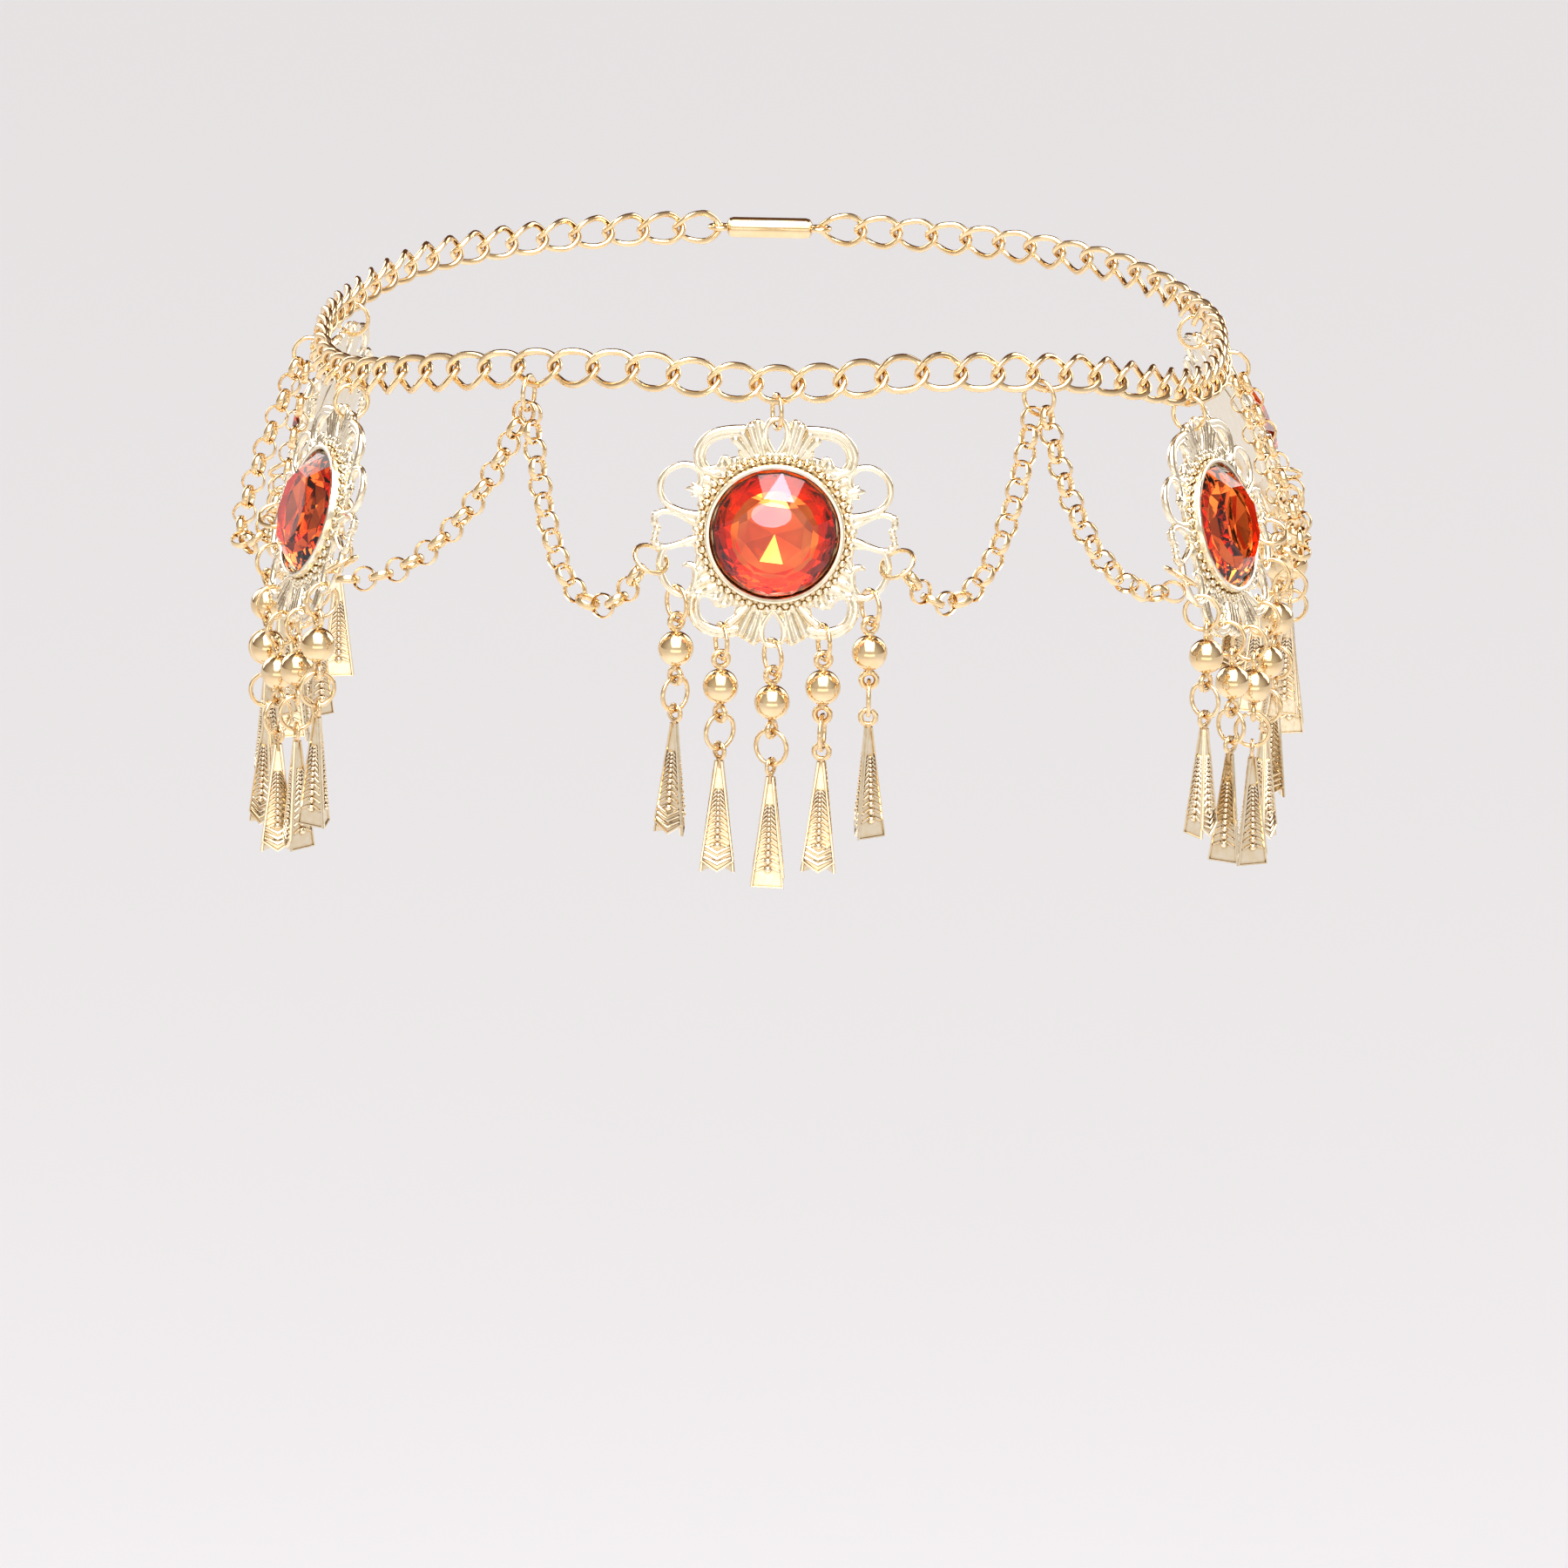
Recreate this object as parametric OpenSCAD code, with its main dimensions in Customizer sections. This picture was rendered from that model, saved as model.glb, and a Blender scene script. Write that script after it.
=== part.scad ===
// Forehead chain: a loop of twisted links, five medallions with a round stone and five drops each,
// and round-link swags between them. Millimetres, +Z up, the front medallion on the -Y side.
// The origin is the middle of the loop, at the height of the front medallion's hang link.

/* [Loop] */
// Half the width of the loop, side to side
loop_half_w = 81.6; // [80:0.2:83]
// Half the depth of the loop, front to back
loop_half_d = 91; // [89:0.5:93]
// Squareness of the loop: 2 is an ellipse, more is boxier
loop_square = 2.2; // [2.1:0.05:2.3]
// How far round the loop the front medallion has slid to the right
front_shift = 6.2; // [5:0.2:7]

/* [Curb links] */
// Height of a link across the chain
link_w = 6.4; // [6:0.1:6.8]
// Diameter of a link's wire
link_wire = 1; // [0.8:0.05:1]
// How far the twist throws the wire to each side of the link's plane
link_twist = 0.95; // [0.85:0.05:1]
// Lean of the links towards the head at their top, in degrees
link_lean = 12; // [5:1:18]

/* [Rings] */
// Outer diameter of the jump rings
ring_d = 6.8; // [6.6:0.1:7]
// Wire of the jump rings
ring_wire = 0.8; // [0.7:0.05:0.85]
// Gap where one wire hangs in another
seat_gap = 0.15; // [0.12:0.01:0.18]

/* [Medallion] */
// Thickness of the cast plate
plate_t = 1.3; // [1.1:0.1:1.4]
// Diameter of the plate's beaded disc
disc_d = 26; // [25.6:0.1:26.4]
// Outer diameter of the bezel cup
bezel_d = 22.8; // [22.6:0.1:23]
// Height of the bezel cup above the back of the plate
bezel_h = 2.9; // [2.8:0.1:3.2]
// Diameter of the stone at its girdle
stone_d = 20.7; // [20.4:0.1:20.8]
// Height of the stone's crown
crown_h = 3.2; // [2.6:0.1:3.6]
// Width of the stone's table, corner to corner
table_d = 13.6; // [12:0.2:14]
// Beads in the band round the bezel
band_beads = 36; // [30:1:38]

/* [Drops] */
// Diameter of the ball
ball_d = 6.1; // [5.8:0.1:6.2]
// Outer diameter of the ball's eyes
eye_d = 3.6; // [3.5:0.1:3.8]
// Wire of the ball's eyes
eye_wire = 1; // [0.9:0.05:1]
// Length of the pendant's folded body
body_l = 19.3; // [17:0.5:20]
// Width of a leaf at the top of the body
leaf_top_w = 1.4; // [1.1:0.1:1.5]
// Width of a leaf at the bottom of the body
leaf_bottom_w = 5.9; // [5.4:0.1:6.2]
// Thickness of a leaf's sheet
leaf_t = 0.4; // [0.3:0.05:0.5]
// How much shorter the front leaf is at its corners than at its point
leaf_point = 1.8; // [1:0.1:2]

/* [Swags] */
// Length of each swag
swag_l = 50; // [49:0.5:53]
// Diameter of the swag's solid
swag_d = 3.2; // [2.8:0.1:3.4]

/* [Hidden] */
$fn = 32;
places = 78;
end_link = 37;
link_gap = 0.36;
link_segments = 12;
wire_sides = 5;
swag_rings = 14;
swag_sides = 8;
swag_tip_d = 1.2;
swag_tip_l = 4;
relief = 0.15;

// Height of the loop: distance along it from the front medallion to the right, height
rise = [[-290, -4.5], [-200, -6], [-170, -8.5], [-142, -8.7], [-112, -10], [-92, -8.6], [-60, -2.3],
    [-42, 0.8], [-24, 2], [-10, 0.7], [0, 0], [10, 0.9], [24, 2.4], [42, 1.2], [58, -0.6], [75, -4.6],
    [92, -8.6], [112, -10], [142, -8.7], [170, -8.5], [200, -6], [290, -4.5]];

// Medallions: name, hang link, turn off the loop's line, swing out from the head, sides with a ring,
// lean of the rings that its drops hang on
medallions = [
    ["front", 0, 0, 3, [-1, 1], 0],
    ["left_temple", -13, -4.6, 16, [-1, 1], 15],
    ["right_temple", 13, -2.3, 16, [-1, 1], 20],
    ["left_rear", -24, 0, 12, [1], 10],
    ["right_rear", 24, 0, 24, [-1], 15],
];

// Hang rings: name, hang link, turn off square to the chain, place on the link's wire in degrees, lean
hang_rings = [
    ["left_front", -6, 10, -27, 0],
    ["right_front", 7, 20, -24, 0],
    ["left_side", -19, 0, 0, 50],
    ["right_side", 19, 0, 0, 50],
];

// Swags: name, hang ring, way along the loop, medallion, side of the medallion, lean of the hanging
// curve out from the head, which the swags at the sides lie on, and how much longer the swag is
swags = [
    ["left_front_inner", 0, 1, 0, -1, 0, 0],
    ["left_front_outer", 0, -1, 1, 1, 0, 1],
    ["right_front_inner", 1, -1, 0, 1, 0, 0],
    ["right_front_outer", 1, 1, 2, -1, 0, -1.5],
    ["left_side_inner", 2, 1, 1, -1, 30, -4],
    ["left_side_outer", 2, -1, 3, 1, 10, 0],
    ["right_side_inner", 3, -1, 2, 1, 30, -4],
    ["right_side_outer", 3, 1, 4, -1, 20, 0],
];

// Drops on a medallion: place across the plate, top of the bar that the ring hangs on,
// turn of that ring, turn of what hangs below it, turn of the pyramid under its tab
drops = [
    [-16.6, -10.8, 35, -43, 0],
    [-8.6, -17.1, 20, -50, 30],
    [0.1, -19.4, 30, 60, 62],
    [8.5, -17.1, 20, -8, -14],
    [16.6, -10.8, 30, 0, -85],
];

// Curves, lengths and turns

function spin(v, a) = [v.x * cos(a) - v.y * sin(a), v.x * sin(a) + v.y * cos(a), v.z];
function sway(v, a) = [v.x * cos(a) + v.z * sin(a), v.y, v.z * cos(a) - v.x * sin(a)];
function tip(v, a) = [v.x, v.y * cos(a) - v.z * sin(a), v.y * sin(a) + v.z * cos(a)];
function unit(v) = v / norm(v);
function sinh(x) = (exp(x) - exp(-x)) / 2;
function cosh(x) = (exp(x) + exp(-x)) / 2;
function asinh(x) = ln(x + sqrt(x * x + 1));
function atanh(x) = ln((1 + x) / (1 - x)) / 2;

// A smooth curve through the points p, with n steps between neighbours
function spline(p, n) = [
    for (i = [0 : len(p) - 2], k = [0 : n - 1])
        let (a = p[max(i - 1, 0)], b = p[i], c = p[i + 1], d = p[min(i + 2, len(p) - 1)], t = k / n)
            0.5 * (2 * b + (c - a) * t + (2 * a - 5 * b + 4 * c - d) * t * t
                + (3 * b - a - 3 * c + d) * t * t * t),
    p[len(p) - 1]
];

// The loop, seen from above, at an angle a from the front
function loop_r(a) = pow(pow(abs(sin(a)) / loop_half_w, loop_square)
    + pow(abs(cos(a)) / loop_half_d, loop_square), -1 / loop_square);
function loop_at(a) = [loop_r(a) * sin(a), -loop_r(a) * cos(a)];

// Distance round the loop against angle, one row a degree
loop_table = [for (a = 0, s = 0; a <= 360; s = s + norm(loop_at(a + 1) - loop_at(a)), a = a + 1) [s, a]];
loop_l = loop_table[360][0];
pitch = loop_l / places;
link_l = pitch + 2 * link_wire + link_gap;

// The middle of a link's wire, t degrees round it
function link_wire_at(t) =
    [(link_l - link_wire) / 2 * cos(t), link_twist * sin(2 * t), (link_w - link_wire) / 2 * sin(t)];

// A point of the chain's centre line, n links from the front hang link
function chain_at(n) =
    let (s = n * pitch, a = lookup((s + front_shift + loop_l) % loop_l, loop_table), p = loop_at(a))
        [p.x, p.y, lookup(s, rise)];
function link_centre(n) = (chain_at(n - 0.5) + chain_at(n + 0.5)) / 2;
function link_run(n) = chain_at(n + 0.5) - chain_at(n - 0.5);
function link_heading(n) = atan2(link_run(n).y, link_run(n).x);
function link_slope(n) = asin(link_run(n).z / norm(link_run(n)));

// A place on a link's lower wire, from which things hang: its middle, or some degrees round from it
function hang_point(n, away = 0) = link_centre(n)
    + spin(sway(tip(link_wire_at(270 + away), -link_lean), -link_slope(n)), link_heading(n));

// How far a ring's centre hangs below the middle of a link's wire
ring_r = (ring_d - ring_wire) / 2;
hang_drop = ring_r - ring_wire / 2 - link_wire / 2 - seat_gap;
// A ring off the middle of its link sits closer, and a turned ring needs more room in a plate
hang_room = 0.15;
plate_gap = 0.4;
drop_gap = 0.55;

// The plate's outline, right half: almond holes, fan and scrolls; the left half mirrors it
almond_r = 1.4;
almond_y = 17.1;
almond_tip_y = 13.4;
almond_low = 0.9;
fan_low = 0.3;
function plate_drop(m) = hang_drop + ring_r - ring_wire / 2 - plate_gap + almond_y + almond_r
    - plate_t / 2 * sin(medallions[m][3]);
fan = [[0, 20], [1.3, 19.7], [2.1, 19.1], [3.2, 19.2], [4.5, 18.6], [5, 17.4], [5.7, 16], [6.3, 14.8],
    [6, 12.9], [5.8, 11]];
upper_scroll = [[4.4, 17], [8.6, 17], [11.4, 15.9], [13, 13.8], [13, 11.9], [11.9, 10.5], [9.4, 9.2]];
lower_scroll = [[9.6, -8.8], [12, -9.8], [13.5, -11.5], [13.9, -13.6], [13, -16], [11, -17.4],
    [8.4, -17.9], [4.6, -17.4]];
side_loop = [[12, 1.7], [16, 2.5], [18.9, 3], [20.3, 2.2], [20, 0.8], [20.1, -0.8], [20.3, -2], [18.9, -2.9],
    [16, -2.2], [12, -1.4]];
crescent = [[15.8, -5.6], [14.4, -5.6], [13.4, -6.9], [13.7, -8.7], [14.9, -9.7]];
scroll_w = 1.5;
arm_w = 1;
round_loop = [16.1, 7.2];
low_loop = [16.5, -7.6];
round_loop_r = 3.6;
round_loop_w = 1;
upper_spur = [[7.6, 9.8], [9, 12.8], [10, 11.8], [10.6, 9.4]];
heart_spur = [[8.2, -10], [9.4, -12.8], [11.2, -10]];
leaf_spur = [[12.2, 5.2], [14.2, 5.9], [15.4, 7], [13.8, 7.4], [12.2, 9]];

// Side rings pass through the lower round loops
side_ring_way = 150;
side_ring_reach = 5.3;
side_ring_tilt = 56;
side_ring_at = low_loop + side_ring_reach * [-cos(side_ring_way), sin(side_ring_way)];

function turned(m) = link_heading(medallions[m][1]) + medallions[m][2];
// A point of medallion m: across the plate, outwards from it, and up from the stone's centre
function medallion_point(m, p) = hang_point(medallions[m][1])
    + spin(tip([p.x, -p.y, p.z - plate_drop(m)], -medallions[m][3]), turned(m));

// The swags hang as catenaries of a set length between two points p and q
function half_ratio(k, lo = 0.01, hi = 8, n = 40) = n == 0
    ? lo
    : let (mid = (lo + hi) / 2)
        sinh(mid) / mid < k ? half_ratio(k, mid, hi, n - 1) : half_ratio(k, lo, mid, n - 1);
function hung(p, q, l, down) =
    let (
        v = (p - q) * down,
        flat = q - p + v * down,
        h = norm(flat),
        c = h / (2 * half_ratio(sqrt(l * l - v * v) / h)),
        from = c * atanh(v / l) - h / 2,
        s0 = c * sinh(from / c)
    )
        [for (i = [0 : swag_rings])
            let (u = c * asinh((s0 + l * i / swag_rings) / c))
                p + flat * (u - from) / h - down * c * (cosh(u / c) - cosh(from / c))];

function ring_down(r) = spin(tip([0, 0, -1], -hang_rings[r][4]), link_heading(hang_rings[r][1]));
function ring_centre(r) =
    hang_point(hang_rings[r][1], hang_rings[r][3]) + (hang_drop - hang_room) * ring_down(r);
swag_gap = 0.5;
swag_start = 1.1;
swag_end = [2.3, -2.6];
function swag_from(w) =
    let (r = swags[w][1])
        ring_centre(r) + (ring_r + ring_wire / 2 + swag_gap) * ring_down(r)
            + spin([swags[w][2] * swag_start, 0, 0], link_heading(hang_rings[r][1]));
function swag_to(w) =
    let (side = swags[w][4])
        medallion_point(swags[w][3], [side * (side_ring_at.x + swag_end.x), 0, side_ring_at.y + swag_end.y]);
function swag_down(w) = spin(tip([0, 0, -1], -swags[w][5]), link_heading(hang_rings[swags[w][1]][1]));

// Names of the nodes
function drop_name(m, d) = str("drop_", medallions[m][0], "_", d + 1);

// General shapes

module ring(d, wire) rotate_extrude() translate([(d - wire) / 2, 0]) circle(d = wire);

// A flat strip of width w along the points p
module ribbon(p, w) {
    last = len(p) - 1;
    function side(i) =
        let (t = unit(p[min(i + 1, last)] - p[max(i - 1, 0)])) w / 2 * [-t.y, t.x];
    polygon(concat([for (i = [0 : last]) p[i] + side(i)], [for (i = [last : -1 : 0]) p[i] - side(i)]));
}

module both_sides() {
    children();
    mirror([1, 0]) children();
}

module at_medallion(m)
    translate(hang_point(medallions[m][1]))
        rotate([0, 0, turned(m)])
            rotate([-medallions[m][3], 0, 0])
                translate([0, 0, -plate_drop(m)])
                    children();

// Curb chain

function link_wire_run(t) = unit([-(link_l - link_wire) / 2 * sin(t), 2 * link_twist * cos(2 * t),
    (link_w - link_wire) / 2 * cos(t)]);

// One twisted oval link, its wire swept round a closed curve
module curb_link(n) {
    m = wire_sides;
    points = [for (i = [0 : link_segments - 1])
        let (
            t = 360 * i / link_segments,
            run = link_wire_run(t),
            a = unit(cross(run, [0, 1, 0])),
            b = cross(run, a)
        )
            for (j = [0 : m - 1])
                link_wire_at(t) + link_wire / 2 * (a * cos(360 * j / m) + b * sin(360 * j / m))];
    faces = [for (i = [0 : link_segments - 1], j = [0 : m - 1])
        let (k = (i + 1) % link_segments, l = (j + 1) % m)
            [i * m + j, k * m + j, k * m + l, i * m + l]];
    translate(link_centre(n))
        rotate([0, 0, link_heading(n)])
            rotate([0, -link_slope(n), 0])
                rotate([-link_lean, 0, 0])
                    polyhedron(points, faces);
}

module chain_left() color("#DDB982") for (n = [-end_link : -1]) curb_link(n);

module chain_right() color("#DDB982") for (n = [0 : end_link]) curb_link(n);

// A plain barrel with an eye at each end, where the ends of the chain meet
clasp_d = 4;
clasp_eye_d = 4.8;
module clasp() color("#DDB982") {
    ends = [chain_at(end_link + 0.5), chain_at(-end_link - 0.5)];
    span = norm(ends[1] - ends[0]);
    eye_x = span / 2 + link_wire + link_gap - clasp_eye_d / 2 + 0.1;
    barrel_l = 2 * (eye_x - clasp_eye_d / 2) + link_wire;
    translate((ends[0] + ends[1]) / 2)
        rotate([0, 0, link_heading(places / 2)]) {
            rotate([0, 90, 0]) cylinder(d = clasp_d, h = barrel_l, center = true);
            for (x = [-1, 1]) translate([x * eye_x, 0, 0]) ring(clasp_eye_d, link_wire);
        }
}

// Medallion

module almond() {
    translate([0, almond_y]) circle(almond_r);
    lean = asin(almond_r / (almond_y - almond_tip_y));
    polygon([[0, almond_tip_y],
        [almond_r * cos(lean), almond_y - almond_r * sin(lean)],
        [-almond_r * cos(lean), almond_y - almond_r * sin(lean)]]);
}

module fan_outline() both_sides() polygon(concat(spline(fan, 3), [[0, 11]]));

// Flutes of a fan: raised ribs that spread from its foot
flute_w = 0.7;
flute_foot = 12.6;
module flutes() for (a = [-24, -15, 15, 24])
    rotate(-a) polygon([[-flute_w / 4, flute_foot], [flute_w / 4, flute_foot],
        [flute_w / 2, 18.3], [-flute_w / 2, 18.3]]);

// Openwork of the plate, without the disc
module openwork() {
    fan_outline();
    translate([0, -fan_low]) mirror([0, 1]) fan_outline();
    both_sides() {
        ribbon(spline(upper_scroll, 3), scroll_w);
        ribbon(spline(lower_scroll, 3), scroll_w);
        ribbon(spline(side_loop, 2), arm_w);
        ribbon(spline(crescent, 2), 0.8);
        polygon(upper_spur);
        polygon(heart_spur);
        polygon(leaf_spur);
        for (at = [round_loop, low_loop]) translate(at) difference() {
            circle(round_loop_r + round_loop_w / 2);
            circle(round_loop_r - round_loop_w / 2);
        }
    }
}

bead_d = 0.9;
cup_floor = 0.5;
lip = 0.25;
lip_h = 0.3;
stone_gap = 0.15;
cup_r = stone_d / 2 + stone_gap;
girdle_z = 2.1;
girdle_t = 0.3;
module plate() {
    linear_extrude(plate_t) difference() {
        openwork();
        almond();
        translate([0, -almond_low]) mirror([0, 1]) almond();
        circle(disc_d / 2 - 1);
    }
    linear_extrude(plate_t + 2 * relief) {
        flutes();
        mirror([0, 1]) flutes();
    }
    rotate_extrude() polygon([[0, 0], [disc_d / 2, 0], [disc_d / 2, plate_t], [bezel_d / 2, plate_t],
        [bezel_d / 2, bezel_h], [cup_r - lip, bezel_h], [cup_r - lip, bezel_h - lip_h],
        [cup_r, bezel_h - lip_h], [cup_r, cup_floor], [0, cup_floor]]);
    for (k = [1 : band_beads])
        rotate(360 * k / band_beads) translate([(disc_d + bezel_d) / 4, 0, plate_t]) sphere(d = bead_d);
}

module medallion(m) color("#EBDDB4") at_medallion(m)
    rotate([90, 0, 0]) translate([0, 0, -plate_t / 2]) plate();

// A round stone: an eight-sided table, eight facets from its edges, and sixteen from its corners
stone_turn = 39;
module stone(m) color("#D63A1C") {
    g = stone_d / 2;
    base_z = cup_floor + 0.2;
    points = concat(
        [for (k = [0 : 7]) let (a = stone_turn + 22.5 + 45 * k) [table_d / 2 * cos(a), table_d / 2 * sin(a),
            girdle_z + girdle_t + crown_h]],
        [for (k = [0 : 15]) let (a = stone_turn + 22.5 * k) [g * cos(a), g * sin(a), girdle_z + girdle_t]],
        [for (k = [0 : 15]) let (a = stone_turn + 22.5 * k) [g * cos(a), g * sin(a), girdle_z]],
        [for (k = [0 : 15]) let (a = stone_turn + 22.5 * k) 0.8 * [g * cos(a), g * sin(a), base_z / 0.8]]
    );
    faces = concat(
        [[for (k = [7 : -1 : 0]) k]],
        [for (k = [0 : 7]) [(k + 7) % 8, k, 8 + 2 * k]],
        [for (k = [0 : 7]) [k, 9 + 2 * k, 8 + 2 * k]],
        [for (k = [0 : 7]) [k, 8 + (2 * k + 2) % 16, 9 + 2 * k]],
        [for (k = [0 : 15], r = [8, 24]) [r + k, r + (k + 1) % 16, r + 16 + (k + 1) % 16, r + 16 + k]],
        [[for (k = [40 : 55]) k]]
    );
    at_medallion(m) rotate([90, 0, 0]) translate([0, 0, -plate_t / 2]) polyhedron(points, faces);
}

// The ring that hangs the medallion, and the rings that its swags end in
top_ring_turn = 15;
module medallion_rings(m) color("#DDB982") {
    n = medallions[m][1];
    translate(hang_point(n) - [0, 0, hang_drop])
        rotate([0, 0, turned(m) + (m == 0 ? top_ring_turn : 0)]) rotate([0, 90, 0]) ring(ring_d, ring_wire);
    for (side = medallions[m][4])
        at_medallion(m)
            translate([side * side_ring_at.x, 0, side_ring_at.y])
                rotate([0, side * (side_ring_way - 180), 0])
                    rotate([90 - side_ring_tilt, 0, 0])
                        ring(ring_d, ring_wire);
}

module hang_ring(r) color("#DDB982")
    translate(ring_centre(r))
        rotate([0, 0, link_heading(hang_rings[r][1]) + hang_rings[r][2]])
            rotate([0, 90, 0])
                ring(ring_d, ring_wire);

// Drops

eye_r = (eye_d - eye_wire) / 2;
eye_reach = ball_d / 2 + eye_r + 0.4;
eye_hang = ring_r + eye_r - eye_wire / 2 - ring_wire / 2 - seat_gap - 0.1;
tab_d = 3.5;
tab_hole_d = 1.8;
tab_t = 0.6;
tab_slot = 0.35;
tab_hang = ring_r + tab_hole_d / 2 - ring_wire / 2 - seat_gap;
tab_neck = 1.3;

// A ball with an eye above it and one below it, which may be turned
module ball_eyes(turn) {
    sphere(d = ball_d);
    for (z = [-1, 1]) rotate([0, 0, z < 0 ? turn : 0]) translate([0, 0, z * eye_reach]) {
        rotate([90, 0, 0]) ring(eye_d, eye_wire);
        translate([0, 0, -z * (eye_d / 2 - 0.2)]) cylinder(d = 1.6, h = 1, center = true);
    }
}

// A leaf's outline inset by e at the sides and by up at the bottom, with corners cut back by point
module leaf_outline(e, point, up = 0) {
    top = leaf_top_w / 2 - e;
    bottom = leaf_bottom_w / 2 - e;
    low = up - body_l;
    polygon([[-top, 0], [top, 0], [bottom, low + point], [0, low], [-bottom, low + point]]);
}

// One leaf: a long flat blade with a raised rim and a row of raised beads
rim_w = 0.45;
corner = 0.23;
leaf_beads = 7;
module leaf(point) {
    linear_extrude(leaf_t) leaf_outline(corner, point);
    linear_extrude(leaf_t + relief) {
        difference() {
            leaf_outline(corner, point);
            leaf_outline(rim_w, point, 1.6);
        }
        for (k = [1 : leaf_beads])
            translate([0, -body_l * (0.28 + 0.58 * k / leaf_beads)])
                circle(d = 0.5 + 0.55 * k / leaf_beads, $fn = 16);
    }
}

// A hollow pyramid of three leaves, turned under a flat tab with a hole and a slot
module pendant(turn) {
    in_top = leaf_top_w / (2 * sqrt(3));
    in_bottom = leaf_bottom_w / (2 * sqrt(3));
    slope = atan((in_bottom - in_top) / body_l);
    for (k = [0 : 2])
        rotate([0, 0, turn + 120 * k])
            translate([0, -in_top, -tab_d / 2])
                rotate([-slope, 0, 0])
                    rotate([90, 0, 0])
                        translate([0, 0, -leaf_t])
                            leaf(k == 0 ? leaf_point : 0);
    rotate([90, 0, 0]) translate([0, 0, -tab_t / 2]) linear_extrude(tab_t) difference() {
        union() {
            circle(d = tab_d);
            translate([-tab_neck / 2, -tab_d / 2 - 1]) square([tab_neck, 2]);
        }
        circle(d = tab_hole_d);
        rotate(20) translate([-tab_slot / 2, 0]) square([tab_slot, tab_d]);
    }
}

// A drop, from the bar that it hangs on down: ring, ball, ring and pendant
module drop(m, d) color("#DDB982") {
    lean = medallions[m][5];
    down = ring_r * [0, -sin(lean), -cos(lean)];
    lift = drop_gap + ring_wire / 2 + plate_t / 2 * sin(medallions[m][3]);
    calm = m == 0 ? 1 : 0.4;
    low_turn = calm * (drops[d][3] - drops[d][2]);
    translate(medallion_point(m, [drops[d].x, 0, drops[d].y]) + [0, 0, lift])
        rotate([0, 0, turned(m) + calm * drops[d][2]]) {
            translate(down) rotate([0, 90, 0]) ring(ring_d, ring_wire);
            translate(2 * down + [0, 0, ring_r - eye_hang - eye_reach]) {
                ball_eyes(low_turn);
                rotate([0, 0, low_turn]) translate([0, 0, -eye_hang - eye_reach]) {
                    rotate([0, 90, 0]) ring(ring_d, ring_wire);
                    translate([0, 0, -tab_hang]) pendant(drops[d][4]);
                }
            }
        }
}

// Swags

// A round tube along a hanging curve, with slim ends
module swag(w) color("#DDB982") {
    length = swag_l + swags[w][6];
    line = hung(swag_from(w), swag_to(w), length, swag_down(w));
    across = unit(cross(line[swag_rings] - line[0], -swag_down(w)));
    step = length / swag_rings;
    m = swag_sides;
    points = [for (i = [0 : swag_rings])
        let (
            run = unit(line[min(i + 1, swag_rings)] - line[max(i - 1, 0)]),
            up = cross(across, run),
            near = min(i, swag_rings - i) * step / swag_tip_l,
            r = (near < 1 ? swag_tip_d + (swag_d - swag_tip_d) * near : swag_d) / 2
        )
            for (j = [0 : m - 1]) line[i] + r * (across * cos(360 * j / m) + up * sin(360 * j / m))];
    faces = concat(
        [[for (j = [m - 1 : -1 : 0]) j]],
        [[for (j = [0 : m - 1]) swag_rings * m + j]],
        [for (i = [0 : swag_rings - 1], j = [0 : m - 1])
            let (l = (j + 1) % m) [i * m + j, i * m + l, (i + 1) * m + l, (i + 1) * m + j]]
    );
    polyhedron(points, faces);
}

chain_left();
chain_right();
clasp();
for (m = [0 : 4]) {
    medallion(m);
    stone(m);
    medallion_rings(m);
    for (d = [0 : 4])
        drop(m, d);
}
for (r = [0 : 3])
    hang_ring(r);
for (w = [0 : 7])
    swag(w);
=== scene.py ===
"""A forehead chain: curb links, five cast medallions with a cut stone, swags of round links, and drops."""

import math
import random

import bmesh
import bpy
import numpy as np
from mathutils import Matrix, Vector


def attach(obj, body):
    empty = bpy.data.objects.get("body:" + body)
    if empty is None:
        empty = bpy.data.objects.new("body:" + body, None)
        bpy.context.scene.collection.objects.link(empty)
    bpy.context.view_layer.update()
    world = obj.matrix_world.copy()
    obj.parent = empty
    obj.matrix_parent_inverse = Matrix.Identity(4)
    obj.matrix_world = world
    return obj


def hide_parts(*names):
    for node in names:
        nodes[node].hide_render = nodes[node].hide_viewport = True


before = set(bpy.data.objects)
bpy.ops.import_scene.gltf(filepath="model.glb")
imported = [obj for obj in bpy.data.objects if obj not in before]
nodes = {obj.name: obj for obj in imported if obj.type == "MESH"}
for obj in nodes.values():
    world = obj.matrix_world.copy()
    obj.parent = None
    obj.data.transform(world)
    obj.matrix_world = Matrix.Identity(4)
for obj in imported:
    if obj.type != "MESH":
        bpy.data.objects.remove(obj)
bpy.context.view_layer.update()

# Pieces are modelled in millimetres and placed in metres
MM = Matrix.Scale(0.001, 4)
UP = Vector((0, 0, 1))

MEDALLIONS = ["front", "left_temple", "right_temple", "left_rear", "right_rear"]


# Camera

# The view is a long lens from a little above and to the right of the front
CAMERA_DISTANCE = 1.3
CAMERA_HEIGHT = 10.5
CAMERA_TURN = 3.3
CAMERA_ROLL = 1.08
PHOTO_SIZE = 1800
# Pixels that one millimetre covers at the front medallion, the camera's distance to it in millimetres, and
# where the loop's middle lands in the frame
MM_PIXELS = 6.8
FRONT_DISTANCE = 1209
MIDDLE_X = 888
MIDDLE_Y = 330.6


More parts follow.
